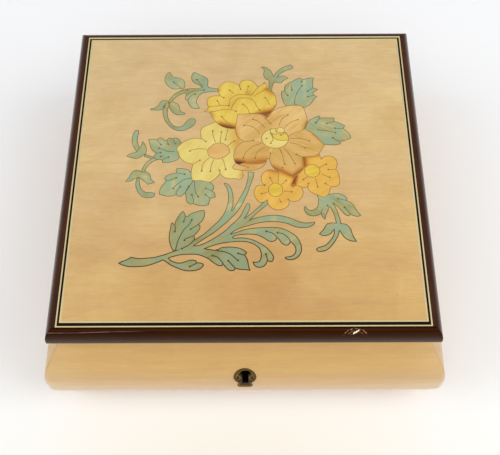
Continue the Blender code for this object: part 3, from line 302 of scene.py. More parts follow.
def front_highlight_and_knock(look, colour):
    """A painted highlight along the arris of the left part of the front lipping, and the knock on its
    right.
    """
    x, y, z = look.parts(look.place)
    # painted highlight: a thin pale line along the arris, fading out towards the middle of the strip
    edge = look.line(look.spread(x, -0.05, -0.068), 0.35 * MM, 77.25 * MM)
    line = look.spread(look.math("ABSOLUTE", look.plus(y, edge)), 0.18 * MM, 0.05 * MM)
    highlight_fade = look.times(look.spread(x, -0.038, -0.052), look.spread(look.noise(160.0, 2.0), 0.2, 0.6))
    share = look.times(look.times(line, highlight_fade), 0.6)
    return chip_mark(look, look.mix(share, colour, rgb(140, 108, 104)))


def chip_mark(look, colour):
    """A knock on the front lipping: a bare slanting flake and cracked lacquer in arcs over it."""
    x, y, z = (look.minus(place, middle) for place, middle in zip(look.parts(look.place), CHIP))
    rise = look.blend(y, 0.87, z, 0.49)
    ragged = look.times(look.minus(look.noise(1500.0, 3.0), 0.5), 0.0011)

    def reach_from(across, up, wide, tall, turn):
        """The distance from a point of the mark, in a turned and stretched measure."""
        dx, dy = look.minus(x, across), look.minus(rise, up)
        c, d = math.cos(turn), math.sin(turn)
        a = look.blend(dx, c, dy, d)
        b = look.minus(look.times(dy, c), look.times(dx, d))
        reach = look.length(look.math("DIVIDE", a, wide), look.math("DIVIDE", b, tall))
        return look.plus(reach, look.math("DIVIDE", ragged, tall))

    broken = look.spread(look.noise(900.0, 2.0), 0.36, 0.54)
    above = look.spread(rise, -0.0016, -0.0004)
    for wide, tall, strength in ((4.6, 3.6, 0.5), (3.3, 2.6, 0.4), (2.4, 1.9, 0.3)):
        ring = reach_from(-0.2 * MM, -2.2 * MM, wide * MM, tall * MM, 0.0)
        line = look.spread(look.math("ABSOLUTE", look.minus(ring, 1.0)), 0.06, 0.01)
        share = look.times(look.times(line, above), look.times(broken, strength))
        colour = look.mix(share, colour, rgb(206, 158, 112))
    flake = look.spread(reach_from(0, 0, 1.5 * MM, 0.32 * MM, 0.55), 1.15, 0.7)
    return look.mix(flake, colour, rgb(250, 236, 208))


def all_woods():
    """Every wood of the box, by name."""
    made = {}

    def keep(name, tones, deep, along, *shares, **more):
        made[name] = wood(name, tones, deep, along, *shares, **more)

    keep("lid_maple", ((232, 204, 152), (227, 196, 150), (235, 206, 148)), (170, 118, 70), "X",
         0.45, 0.07, 0.07, 0.2, layout=lid_layout)
    keep("plywood", ((196, 164, 118), (186, 150, 104), (200, 170, 122)), (134, 98, 60), "X",
         0.5, 0.2, 0.35, 0.3, 0.62, 0.0)
    for axis, end, coat, specular in (("X", "x", 0.9, 0.5), ("Y", "y", 0.15, 0.3)):
        keep("case_maple_" + end, ((202, 162, 91), (202, 158, 94), (204, 166, 88)),
             (164, 112, 56), axis, 0.6, 0.06, 0.14, 0.16, coat=coat, specular=specular,
             layout=case_painted_shade_and_corners)
        keep("cream_" + end, ((220, 204, 154), (210, 190, 140), (224, 208, 160)),
             (186, 164, 112), axis, 0.3, 0.0, 0.2, 0.2)
        keep("black_" + end, ((24, 14, 6), (20, 11, 4), (28, 16, 8)), (10, 6, 3), axis,
             0.3, 0.0, 0.2, 0.2, 0.35, 0.0, 0.12)
    # Painted light: the lipping is one mahogany in lit and shaded copies. The front strip is painted
    # darker than the back and the sides, and each strip has its own specular level and tint for the
    # reflections it shows.
    front = (46, 19, 6), (52, 22, 8), (39, 15, 4)
    side = (67, 36, 23), (74, 41, 27), (58, 30, 18)
    back = (54, 24, 10), (61, 28, 12), (46, 19, 7)
    warm, pale = (255, 178, 92), (255, 214, 182)
    for name, axis, tones, shine, tint, mark in (
            ("front", "X", front, 0.14, warm, front_highlight_and_knock), ("right", "Y", side, 0.42, pale, None),
            ("back", "X", back, 0.9, pale, None), ("left", "Y", side, 0.45, pale, None)):
        keep("mahogany_" + name, tones, (22, 8, 4), axis, 0.4, 0.1, 0.4, 0.3, 0.22, 0.0, shine,
             tint, mark=mark)
    return made


def hole_shade():
    """The inside of the keyhole, painted near-black to stand for the shade deep in the bore."""
    look = Look("keyhole_shade", Roughness=0.9, Specular_IOR_Level=0.05)
    return look.finish(Base_Color=look.ramp(look.noise(900.0, 3.0), (0.3, rgb(14, 10, 7)),
                                            (0.7, rgb(26, 18, 12))))


# The pale, middle and dark tone of each veneer, and of the saw lines round and in the pieces
INLAY = {
    "green": ((202, 196, 144), (172, 168, 112), (138, 139, 84)),
    "pale": ((236, 216, 128), (226, 204, 114), (218, 192, 98)),
    "gold": ((232, 204, 92), (225, 193, 80), (214, 176, 66)),
    "tan": ((230, 192, 122), (221, 180, 108), (200, 154, 66)),
    "orange": ((234, 188, 88), (227, 179, 78), (216, 162, 66)),
    "yellow": ((232, 200, 78), (224, 188, 66), (208, 168, 52)),
    "amber": ((228, 186, 112), (222, 178, 105), (212, 164, 92)),
    "line_green": ((118, 106, 60), (104, 92, 48), (86, 74, 34)),
    "line_flower": ((168, 128, 60), (152, 112, 50), (136, 96, 40)),
}


def inlay_look(group):
    """Dyed veneer: its grain runs with each piece, its edges are scorched in hot sand."""
    pale, middle, dark = (rgb(*c) for c in INLAY[group])
    look = Look("inlay_" + group, Coat_Weight=0.35, Coat_Roughness=0.06, Roughness=0.32)
    grain = look.attribute("grain", "Vector")
    tone = look.blend(look.noise((90, 900, 300), 4.0, 0.6, 0.5, grain), 0.4,
                      look.noise((70, 150, 100), 3.0, vector=grain), 0.6)
    colour = look.ramp(tone, (0.34, dark), (0.5, middle), (0.66, pale))
    if group == "green":
        cool = look.blend(look.noise((330, 60, 60), 2.0), 0.5, look.noise(110.0, 3.0), 0.5)
        share = look.times(look.spread(cool, 0.44, 0.56), 0.85)
        colour = look.mix(share, colour, rgb(147, 173, 141))
    if "green" in group:
        low = look.spread(look.parts(look.place)[1], -0.015, -0.045)
        shade, share = ((134, 132, 84), 0.4) if group == "green" else ((66, 42, 4), 0.9)
        colour = look.mix(look.times(low, share), colour, rgb(*shade))
    colour = look.mix(look.attribute("tone"), colour, dark)
    colour = look.tint(colour, look.ramp(
        look.attribute("burn"), (0.0, rgb(255, 255, 255)), (0.3, rgb(236, 200, 142)),
        (0.65, rgb(164, 112, 58)), (1.0, rgb(66, 36, 14))))
    normal = look.bump(look.noise(45.0, 2.0), 0.00025, 0.35)
    return look.finish(Base_Color=colour, Normal=normal, Coat_Normal=normal)


def aged_brass():
    """Old cast brass: pale where it is raised, for rubbed wear and a painted highlight, brown on the
    rim and in the hollows.
    """
    look = Look("aged_brass", Metallic=0.15, Roughness=0.4, Specular_IOR_Level=0.12)
    stain = look.noise(2200.0, 3.0)
    # the pale on the raised parts is rubbed wear and a painted highlight
    rubbed = look.plus(look.attribute("relief"), look.times(stain, 0.3))
    colour = look.ramp(look.spread(rubbed, 0.1, 1.1), (0.0, rgb(38, 26, 10)),
                       (0.45, rgb(96, 71, 22)), (1.0, rgb(148, 132, 66)))
    return look.finish(Base_Color=colour, Normal=look.bump(stain, 0.00004, 0.6))


def metal(name, colour, along="X", roughness=0.28, brushed=0.5, stain=0.25):
    """Worked metal: brushed along one axis, with faint tarnish."""
    look = Look(name, Metallic=1.0)
    colour = rgb(*colour)
    lines = look.noise(stretched(along, 160, 4200), 3.0, 0.6)
    tarnish = look.spread(look.noise(260.0, 4.0, 0.6), 0.5, 0.75)
    dull = tuple(c * f for c, f in zip(colour, (0.62, 0.55, 0.45)))
    return look.finish(Base_Color=look.mix(look.times(tarnish, stain), colour, dull),
                       Roughness=look.line(lines, 0.25 * brushed, roughness),
                       Normal=look.bump(lines, 0.000015, brushed))


def cast_zinc():
    look = Look("cast_zinc", Metallic=0.9, Roughness=0.5)
    grain = look.noise(1800.0, 4.0, 0.65)
    colour = look.ramp(look.noise(120.0, 3.0), (0.3, rgb(146, 148, 150)), (0.7, rgb(178, 180, 182)))
    return look.finish(Base_Color=colour, Normal=look.bump(grain, 0.00006, 0.7))


def velvet():
    """Short-pile velvet: fine tufts, and drifts where the pile has been brushed."""
    look = Look("red_velvet", Roughness=0.85, Sheen_Weight=0.55, Sheen_Roughness=0.4,
                Sheen_Tint=(0.9, 0.25, 0.25), Specular_IOR_Level=0.15)
    pile = look.noise(3200.0, 2.0, 0.7)
    brushed = look.noise((34, 60, 34), 3.0, 0.55, 1.0)
    colour = look.ramp(look.blend(pile, 0.6, brushed, 0.4), (0.36, rgb(84, 8, 16)),
                       (0.5, rgb(120, 14, 24)), (0.64, rgb(152, 26, 36)))
    normal = look.bump(pile, 0.00012, 0.8)
    return look.finish(Base_Color=colour, Normal=look.bump(brushed, 0.0006, 0.3, normal))


def mirror_glass():
    look = Look("mirror_glass", Metallic=1.0, Coat_Weight=0.4, Coat_Roughness=0.02)
    haze = look.noise(60.0, 3.0)
    colour = look.ramp(haze, (0.3, rgb(229, 233, 233)), (0.7, rgb(233, 237, 236)))
    return look.finish(Base_Color=colour, Roughness=look.times(haze, 0.04))


def clear_plastic():
    look = Look("clear_plastic", Transmission_Weight=1.0, IOR=1.49)
    haze = look.spread(look.noise((900, 90, 900), 3.0, 0.7), 0.55, 0.8)
    colour = look.mix(haze, rgb(250, 252, 252), rgb(236, 240, 242))
    return look.finish(Base_Color=colour, Roughness=look.line(haze, 0.10, 0.02))


# Meshes

def linked(name, data):
    """A new object in the scene."""
    made = bpy.data.objects.new(name, data)
    bpy.context.scene.collection.objects.link(made)
    return made


def smooth(mesh, degrees):
    """Shades a mesh smooth, but for edges that are sharper than this."""
    mesh.shade_smooth()
    mesh.set_sharp_from_angle(angle=math.radians(degrees))


def add(name, bm, material, body, stands_for, degrees=35.0):
    """A piece made of bm, riding on a body."""
    bmesh.ops.recalc_face_normals(bm, faces=bm.faces)
    mesh = bpy.data.meshes.new(name)
    bm.to_mesh(mesh)
    bm.free()
    smooth(mesh, degrees)
    mesh.materials.append(material)
    made = linked(name, mesh)
    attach(made, body)
    if stands_for:
        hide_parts(stands_for)
    return made


def modify(target, kind, **settings):
    """Puts a modifier on the target."""
    made = target.modifiers.new(kind.lower(), kind)
    for key, value in settings.items():
        setattr(made, key, value)


def skin(bm, ring, other):
    """Faces from one closed ring of vertices to the next."""
    count = len(ring)
    for i in range(count):
        j = (i + 1) % count
        bm.faces.new((ring[i], ring[j], other[j], other[i]))


def loft(rings, closed=False):
    """A solid over rings of points. It has two ends, or is closed on itself."""
    bm = bmesh.new()
    rings = [[bm.verts.new(place) for place in ring] for ring in rings]
    for ring, other in zip(rings, rings[1:]):
        skin(bm, ring, other)
    if closed:
        skin(bm, rings[-1], rings[0])
    else:
        bm.faces.new(rings[0])
        bm.faces.new(rings[-1])
    return bm


def turned(bm, quarter):
    """A shape made for the front, carried to another side of the box."""
    turn = Matrix.Rotation(quarter * math.pi / 2, 3, "Z")
    bmesh.ops.rotate(bm, verts=bm.verts, cent=(0, 0, 0), matrix=turn)
    return bm


def egg(centre, wide, tall, start, end, steps=32):
    """Part of an ellipse."""
    turns = [start + (end - start) * i / steps for i in range(steps + 1)]
    return [(centre[0] + wide * math.cos(t), centre[1] + tall * math.sin(t)) for t in turns]


def arc(centre, radius, start, end, steps):
    return egg(centre, radius, radius, start, end, steps)


def mitred(profile, quarter, ends):
    """A strip along one side of the box, from its profile as (distance out, height). The ends
    say how far each point of the profile reaches to the left and to the right."""
    return turned(loft([[(way * end, -out, up) for (out, up), end in zip(profile, reach)]
                        for way, reach in zip((-1, 1), ends)]), quarter)


def square_ring(profile):
    """A profile of (half side, height) carried round a square."""
    corners = [(-1, -1), (1, -1), (1, 1), (-1, 1)]
    return loft([[(x * half, y * half, up) for x, y in corners] for half, up in profile], True)


def box(x0, x1, y0, y1, z0, z1):
    corners = ((x0, y0), (x1, y0), (x1, y1), (x0, y1))
    return loft([[(x, y, z) for x, y in corners] for z in (z0, z1)])


def rod(radius, low, high, place, sides=32):
    """A round bar along X, from low to high past the place."""
    ring = egg((0, 0), radius, radius, 0, 2 * math.pi, sides)[:-1]
    bm = loft([[(far, a, b) for a, b in ring] for far in (low, high)])
    bmesh.ops.translate(bm, verts=bm.verts, vec=place)
    return bm


def prism_y(outline, near, far):
    return loft([[(x, y, z) for x, z in outline] for y in (near, far)])


def around(node, spare):
    """A box that clears a node of the model by the spare on every side."""
    low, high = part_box(node)
    return box(low.x - spare, high.x + spare, low.y - spare, high.y + spare,
               low.z - spare, high.z + spare)


def border(triangles):
    """The edges that only one of the triangles has, in its own direction."""
    found = {}
    for triangle in triangles:
        for i, j in zip(triangle, triangle[1:] + triangle[:1]):
            if (j, i) in found:
                del found[j, i]
            else:
                found[i, j] = True
    return found


def cut(target, *shapes, inside_look=None):
    """Takes each closed shape out of the target for good."""
    for shape in shapes:
        bmesh.ops.recalc_face_normals(shape, faces=shape.faces)
        mesh = bpy.data.meshes.new("cutter")
        shape.to_mesh(mesh)
        shape.free()
        mesh.materials.append(inside_look or target.data.materials[0])
        tool = linked("cutter", mesh)
        modify(target, "BOOLEAN", operation="DIFFERENCE", solver="EXACT", object=tool,
               material_mode="TRANSFER")
        bpy.context.view_layer.update()
        graph = bpy.context.evaluated_depsgraph_get()
        made = bpy.data.meshes.new_from_object(target.evaluated_get(graph))
        target.modifiers.clear()
        old = target.data
        target.data = made
        bpy.data.meshes.remove(old)
        bpy.data.objects.remove(tool)
        bpy.data.meshes.remove(mesh)


# The marquetry, drawn on a grid of about a tenth of a millimetre, 800 at its middle

DRAWN = 0.103865 * MM
MIDDLE = 800
LAID = Vector((-0.33, -0.10)) * MM     # where its middle lies on the lid
STEP = 8.0                    # from point to point along a curve, in drawing units
CORNER = math.radians(50)     # a sharper turn than this stays a corner
KERF = 1.3                    # half the width of the line round a piece
VEIN = 1.35                   # half the width of a vein
GROWTH = 0.85                 # what a line gains towards the foot of the bouquet
GROWS = (180, 420)            # from so far below the middle to so far below it
DOT = 4.3                     # radius of the dot that ends a vein
VENEER = 0.3 * MM
SPACING = 9.0                 # of the points that divide the pieces inside


def spot(across, down):
    """A place of the drawing, from its middle."""
    return Vector((float(across) - MIDDLE, MIDDLE - float(down)))


def points(text):
    """The places given as "across,down across,down"."""
    return [spot(*pair.split(",")) for pair in text.replace("o", "").split()]


def curve(line, closed):
    """A smooth line through the points, which stays sharp where it turns sharply."""
    count = len(line)

    def at(i):
        return line[i % count] if closed else line[min(max(i, 0), count - 1)]

    def slope(i, leaving):
        before, here, after = at(i - 1), at(i), at(i + 1)
        ahead, behind = after - here, here - before
        if not closed and i in (0, count - 1):
            return ahead if i == 0 else behind
        if ahead.length < 1e-6 or behind.length < 1e-6 or ahead.angle(behind) > CORNER:
            return ahead if leaving else behind
        way = ahead.normalized() + behind.normalized()
        return way.normalized() * min(ahead.length, behind.length)

    made = []
    for i in range(count if closed else count - 1):
        start, end = at(i), at(i + 1)
        leave, arrive = slope(i, True), slope((i + 1) % count if closed else i + 1, False)
        steps = max(1, round((end - start).length / STEP))
        for k in range(steps):
            t = k / steps
            a = 2 * t ** 3 - 3 * t ** 2 + 1
            b = t ** 3 - 2 * t ** 2 + t
            made.append(start * a + leave * b + end * (1 - a) + arrive * (t ** 3 - t ** 2))
    return made if closed else made + [line[-1]]


def offset(line, reach, closed):
    """The line pushed sideways, to its right for a positive reach."""
    made = []
    for i, here in enumerate(line):
        before = line[i - 1] if closed or i else here
        after = line[(i + 1) % len(line)] if closed or i < len(line) - 1 else here
        one = (here - before).normalized() if (here - before).length else None
        two = (after - here).normalized() if (after - here).length else None
        one, two = one or two, two or one
        normal = Vector((one.y + two.y, -one.x - two.x))
        normal = normal.normalized() if normal.length > 0.2 else Vector((one.y, -one.x))
        lean = max(0.5, normal.dot(Vector((one.y, -one.x))))
        made.append(here + normal * reach[i] / lean)
    return made


def area(line):
    return sum(a.x * b.y - b.x * a.y for a, b in zip(line, line[1:] + line[:1])) / 2


def inside(ring, places):
    """Which of the places lie inside the ring."""
    odd = numpy.zeros(len(places), bool)
    for (ax, ay), (bx, by) in zip(ring, numpy.roll(ring, -1, axis=0)):
        if ay != by:
            crosses = (ay > places[:, 1]) != (by > places[:, 1])
            odd ^= crosses & (places[:, 0] < ax + (bx - ax) * (places[:, 1] - ay) / (by - ay))
    return odd


def widths(line, least):
    """Half the width of a line at each point: it grows towards the foot of the bouquet."""
    return [least + GROWTH * float(numpy.interp(-p.y, GROWS, (0, 1))) for p in line]


class Drawing:
    """Flat pieces laid one on another. Each keeps only what no later one covers."""

    def __init__(self):
        self.faces = []

    def patch(self, line, group, grain=0.0, tone=0.0, burns=()):
        line = line if area(line) > 0 else line[::-1]
        self.faces.append((line, group, grain, tone, burns))

    def stroke(self, line, least, closed, group):
        """A dark line along the points."""
        reach = widths(line, least)
        outer = offset(line, reach, closed)
        inner = offset(line, [-r for r in reach], closed)
        for i in range(len(line) if closed else len(line) - 1):
            j = (i + 1) % len(line)
            self.patch([outer[i], outer[j], inner[j], inner[i]], group)

    def leaf(self, group, outline, veins="", burns=(), grain=0.0, tone=0.0, edge="all"):
        """One piece: its outline, veins with a semicolon between them, an o where a vein ends in
        a dot, and scorched stretches as (across, down, across, down, reach, strength). Its edge
        is drawn all round, left open between the last point and the first, or left out."""
        ink = "line_green" if group == "green" else "line_flower"
        rim = curve(points(outline), True)
        self.patch(rim, group, grain, tone, burns)
        if edge == "open":
            rim = curve(points(outline), False)
        if edge != "none":
            self.stroke(rim, KERF, edge == "all", ink)
        for vein in veins.split(";"):
            line = points(vein)
            if len(line) > 1:
                self.stroke(curve(line, False), VEIN, False, ink)
            for place in points(" ".join(p for p in vein.split() if "o" in p)):
                ring = egg((0, 0), 1, 1, 0, 2 * math.pi, 10)[:-1]
                self.patch([place + Vector(p) * DOT for p in ring], ink)

    def disc(self, group, across, down, wide, tall, burns=()):
        ring = egg((across, down), wide, tall, 0, 2 * math.pi, 14)[:-1]
        self.leaf(group, " ".join(f"{x:.1f},{y:.1f}" for x, y in ring), "", burns, 20)

    def partition(self):
        """Every face's own triangles, as (corners, face)."""
        where, known, edges = [], {}, set()
        for line, *_ in self.faces:
            ring = []
            for p in line:
                key = (round(p.x, 1), round(p.y, 1))
                if key not in known:
                    known[key] = len(where)
                    where.append(Vector(key))
                ring.append(known[key])
            edges |= {(min(a, b), max(a, b)) for a, b in zip(ring, ring[1:] + ring[:1]) if a != b}
        low = Vector((min(p.x for p in where), min(p.y for p in where)))
        high = Vector((max(p.x for p in where), max(p.y for p in where)))
        for i in range(int((high.x - low.x) / SPACING)):
            for j in range(int((high.y - low.y) / SPACING)):
                lean = SPACING / 2 if j % 2 else 0
                where.append(Vector((low.x + i * SPACING + lean, low.y + j * SPACING)))
        found, _, triangles, *_ = delaunay_2d_cdt(where, sorted(edges), [], 0, 0.02, False)
        flat = numpy.array([[p.x, p.y] for p in found])
        corners = numpy.array([t for t in triangles if len(t) == 3])
        middles = flat[corners].mean(axis=1)
        order = numpy.argsort(middles[:, 0])
        middles, corners = middles[order], corners[order]
        owner = numpy.full(len(corners), -1)
        for k, (line, *_) in enumerate(self.faces):
            ring = numpy.array([[round(p.x, 1), round(p.y, 1)] for p in line])
            low, high = ring.min(axis=0), ring.max(axis=0)
            first, last = numpy.searchsorted(middles[:, 0], (low[0], high[0]))
            up = middles[first:last, 1]
            tried = first + numpy.nonzero((up > low[1]) & (up < high[1]))[0]
            owner[tried[inside(ring, middles[tried])]] = k
        return found, [(tuple(t), k) for t, k in zip(corners.tolist(), owner.tolist()) if k >= 0]


def greens(made):
    """Stems and leaves, from the bottom of the bouquet up."""
    made.leaf("green", """
        306,1254 317,1247 335,1240 345,1234 352,1228 362,1230 385,1234 415,1232 445,1229 470,1222
        492,1215 515,1205 540,1195 560,1181 603,1151 646,1120 674,1091 700,1063 716,1040 729,1011
        737,980 740,951 737,926 731,903 723,889 721,881 731,884 746,900 754,923 758,946 758,971
        757,994 751,1014 757,1014 774,980 789,949 803,920 813,891 821,849 820,826 846,829 843,849
        834,877 820,923 806,960 789,997 771,1026 751,1049 731,1071 703,1097 674,1123 646,1143
        620,1162 600,1177 618,1177 646,1166 674,1149 703,1129 731,1106 754,1080 771,1063 789,1040
        806,1003 816,980 826,983 828,997 824,1014 813,1037 803,1054 817,1043 849,1014 874,986
        897,963 903,983 863,1020 846,1037 823,1063 836,1055 853,1050 875,1044 900,1039 925,1037
        950,1039 975,1045 1000,1055 1025,1066 1044,1073 1066,1074 1091,1070 1092,1075 1087,1081
        1072,1091 1050,1095 1025,1094 1003,1087 981,1076 950,1069 925,1067 900,1067 875,1070
        850,1076 825,1084 800,1092 775,1103 758,1114 750,1124 775,1116 800,1106 825,1100 850,1097
        881,1095 912,1094 937,1095 962,1101 987,1114 1009,1131 1025,1153 1034,1181 1033,1203
        1022,1225 1003,1239 981,1241 968,1235 970,1230 987,1228 1003,1220 1011,1206 1011,1187
        1003,1172 991,1161 981,1175 972,1176 956,1166 944,1147 937,1141 931,1153 916,1159 903,1156
        887,1144 862,1130 837,1125 806,1125 781,1128 762,1133 757,1139 762,1144 787,1142 812,1144
        837,1151 866,1166 894,1187 912,1209 922,1231 916,1248 908,1250 897,1244 891,1259 881,1270
        869,1274 853,1272 842,1259 841,1251 850,1253 866,1247 872,1231 873,1212 866,1191 850,1175
        825,1162 800,1158 775,1158 744,1161 712,1166 690,1172 665,1181 643,1191 669,1195 695,1198
        712,1187 734,1184 759,1184 784,1189 803,1198 814,1209 806,1220 816,1237 820,1256 823,1275
        827,1287 806,1284 787,1283 769,1278 766,1286 753,1289 741,1284 728,1269 720,1256 717,1266
        706,1267 691,1259 675,1247 665,1237 650,1229 635,1222 615,1216 585,1215 550,1217 517,1226
        502,1232 510,1242 525,1250 545,1255 562,1252 582,1244 597,1241 612,1245 615,1253 632,1255
        642,1260 642,1267 630,1280 610,1287 585,1289 562,1285 540,1276 517,1265 497,1251 481,1240
        460,1250 435,1260 410,1267 385,1269 347,1269 322,1262""", """
        894,1112o 916,1119 931,1131 937,1141; 939,1119o 956,1122 975,1134 987,1150 991,1161;
        891,1216o 895,1231 897,1244; 643,1191 669,1195 697,1200 725,1205 750,1216 769,1234
        780,1244o; 780,1212o 797,1218 806,1220; 741,1245o 753,1259 769,1278; 697,1196o; 678,1222o
        697,1228 709,1241 720,1256; 617,1255 600,1264 589,1270o; 751,1123o""", (), 30, 0.1)
    made.leaf("green", """
        529,1197 521,1201 515,1190 507,1170 502,1147 501,1122 505,1097 507,1075 511,1070 517,1077
        522,1082 525,1062 535,1040 545,1025 552,1017 560,1028 563,1040 572,1043 582,1031 602,1022
        625,1014 638,1012 642,1022 640,1045 632,1062 618,1078 625,1090 621,1105 610,1120 601,1130
        604,1145 595,1160 580,1175 565,1184 554,1190""", """
        529,1197 532,1180 536,1160 542,1140 550,1122 560,1102 575,1085 586,1068 590,1058o; 557,1066o
        561,1050 563,1040; 523,1112o 525,1095 521,1082; 618,1079 602,1090 587,1101o; 601,1131
        582,1139 567,1145 563,1152o; 554,1190o""", (), 65, 0.3, "open")
    made.leaf("green", """
        596,868 580,880 561,923 563,949 567,971 581,984 593,980 607,986 633,991 656,986 661,963
        664,955 684,949 681,931 670,920 676,909 676,894 664,880 653,874 635,871 617,867""", """
        596,868 597,903 603,929 613,947o; 596,977 592,955 586,937o; 664,957 643,937o; 670,920
        657,913 644,907o""", (), 70, 0.2)
    made.leaf("green", """
        575,823 567,814 550,809 533,807 519,808 516,817 519,829 513,831 490,837 476,846 469,857
        476,866 473,877 461,891 453,911 451,934 467,940 490,944 513,940 521,929 524,940 536,946
        550,937 561,923 575,895 590,865 585,840""", """
        519,829 536,833 553,836o; 476,866 490,866 501,863 518,854o; 585,857 556,861 533,877 516,894
        507,907o; 521,929 527,912 537,897o; 561,923 566,908 573,896o""", (), 40)
    made.leaf("green", "455,744 420,749 380,734 377,745 420,760 457,756", "", (), 5, 0.3)
    made.leaf("green", """
        425,750 400,765 380,790 369,822 381,828 391,800 410,775 434,761""", "", (), 60, 0.2)
    made.leaf("green", """
        391,657 398,683 404,703 416,720 430,729 421,738 416,750 433,760 452,760 456,768 457,777
        478,777 501,771 519,763 527,749 521,729 516,706 536,679 527,666 516,652 501,650 496,655
        487,650 476,651 470,663 461,663 453,654 444,649 433,651 427,661 421,657 404,656""", """
        430,729 446,726o; 438,703o 459,711 476,720 507,720; 427,661 436,673 446,684o; 470,663
        477,683o; 496,655 507,680o; 447,746o 461,744; 456,768 463,757 481,749o""", (), -15, 0.15)
    made.leaf("green", """
        341,608 346,620 343,637 341,654 343,671 349,689 354,703 344,720 336,709 327,691 321,671
        320,651 323,629 330,611""", "", (), 80)
    made.leaf("green", """
        366,668 359,694 354,703 344,720 333,726 316,731 303,743 321,751 341,756 359,751 367,743
        381,731 384,709 379,689""", "", (), 30, 0.3)
    made.leaf("green", """
        375,825 350,815 330,825 320,850 305,870 325,870 345,855 360,850 385,870 400,885 428,877
        412,860 405,835 385,820""", "", (), -20, 0.1)
    made.leaf("green", """
        352,855 350,890 360,920 380,945 410,952 430,945 432,930 415,925 395,925 375,910 365,880
        362,855""", "", (), -50, 0.2)
    made.leaf("green", """
        690,383 665,380 645,375 638,366 640,352 640,337 635,325 625,316 610,307 592,297 577,289
        570,295 566,310 566,327 575,345 590,357 605,364 616,373 600,381 560,382 535,386 520,393
        500,405 482,425 472,445 468,462 480,458 490,440 505,425 520,415 540,406 546,416 541,432
        542,443 551,447 555,457 560,472 570,485 580,491 595,493 606,491 600,480 594,467 591,455
        594,440 600,425 610,412 622,405 645,401 690,397""", """
        590,331o 602,350 616,372; 550,390o 535,390 520,396; 546,416 560,405 577,395 600,391
        624,390o; 585,413o 570,420 558,435 553,448""", (), 20, 0.1)
    made.leaf("green", """
        467,289 470,297 476,307 486,317 502,320 517,324 530,335 536,347 537,365 534,379 525,382
        490,384 477,380 462,367 452,352 446,335 447,315 452,300 460,290""", """
        487,345o 505,365 520,379""", (), -40, 0.05)
    made.leaf("green", """
        390,493 410,488 424,474 430,462 438,452 450,446 463,450 470,460 460,480 448,493 430,500
        392,500""", "", (), 30, 0.35)
    made.leaf("green", """
        487,456 505,464 515,477 519,495 525,510 540,516 544,521 535,526 505,525 490,515 480,500
        473,483 471,465 480,457""", "", (), -50)
    made.leaf("green", """
        445,495 446,515 450,535 457,557 470,577 485,595 502,607 522,612 542,610 562,600 577,590
        587,575 591,562 590,555 580,547 570,547 557,555 547,570 537,585 522,592 505,590 487,577
        475,557 467,535 465,515 465,495 471,478 468,462 455,460 447,478""", """
        450,485o 457,467""", (), -60, 0.15)
    made.leaf("green", """
        905,390 914,376 914,357 915,337 907,334 898,326 893,314 890,301 894,286 893,275 887,266
        880,260 891,259 902,263 913,272 922,281 928,294 933,306 936,318 940,310 945,296 956,283
        969,270 980,261 994,256 1005,253 1012,248 1018,252 1025,261 1020,270 1009,275 994,279
        984,286 971,295 960,306 951,321 966,313 980,312 987,314 1000,324 987,334 978,339 972,350
        962,353 944,348 938,350 931,366 927,384 927,401 915,402""", "", (), 60, 0.25)
    made.leaf("green", """
        984,474 977,457 971,437 969,414 971,400 984,398 984,377 991,363 1003,353 1017,345 1029,337
        1043,329 1057,324 1062,334 1069,333 1083,329 1103,324 1116,326 1111,340 1111,357 1110,380
        1131,390 1120,400 1111,406 1111,420 1126,429 1116,440 1106,457 1094,474 1080,484 1069,489
        1051,483 1034,474 1000,490""", """
        997,423o 989,409 984,396; 1062,334 1061,346o; 1027,474 1028,443 1037,414 1049,389 1063,368o;
        1016,391o 1014,368; 1087,400o 1098,391 1110,383; 1086,431o 1098,427 1111,422""", (), 55, 0.05)
    made.leaf("green", """
        1064,612 1074,591 1083,566 1103,549 1123,540 1133,535 1134,548 1146,546 1171,547 1197,547
        1196,566 1209,570 1226,579 1241,589 1234,604 1246,617 1257,631 1264,646 1263,656 1246,663
        1228,671 1214,671 1219,683 1203,689 1183,690 1160,687 1148,686 1137,674 1120,651 1103,631
        1086,620""", """
        1134,548 1125,562 1116,573o; 1196,566 1180,572 1164,577o; 1234,604 1214,604 1199,602o;
        1214,671 1200,663 1186,653o; 1120,610 1154,614 1177,619 1199,626o""", (), -25, 0.1)
    made.leaf("green", """
        1106,940 1112,959 1111,980 1106,999 1094,1011 1078,1015 1066,1011 1060,1002 1055,995
        1051,1007 1054,1019 1063,1033 1078,1040 1094,1041 1109,1036 1119,1029 1123,1040 1134,1057
        1137,1045 1142,1030 1149,1016 1151,1002 1157,997 1167,1016 1173,1035 1178,1057 1180,1076
        1163,1074 1144,1078 1135,1090 1125,1107 1109,1124 1120,1132 1137,1132 1154,1124 1162,1114
        1170,1103 1168,1128 1156,1149 1137,1173 1118,1183 1101,1188 1094,1195 1101,1204 1118,1204
        1137,1197 1156,1178 1173,1154 1185,1130 1190,1109 1197,1119 1204,1133 1218,1149 1237,1158
        1256,1159 1242,1128 1237,1104 1228,1090 1216,1080 1198,1078 1197,1066 1192,1042 1187,1023
        1180,1002 1173,980 1192,999 1206,1019 1218,1035 1230,1042 1240,1034 1251,1040 1268,1044
        1282,1039 1268,1019 1256,992 1244,978 1228,969 1230,958 1216,942 1197,935 1178,934 1160,938
        1140,930 1120,925""", """
        1119,1028 1124,1016 1128,1007; 1148,992o; 1173,983o; 1194,959o 1211,964 1228,968; 1218,1001o
        1228,1016 1240,1034""", (), -40)


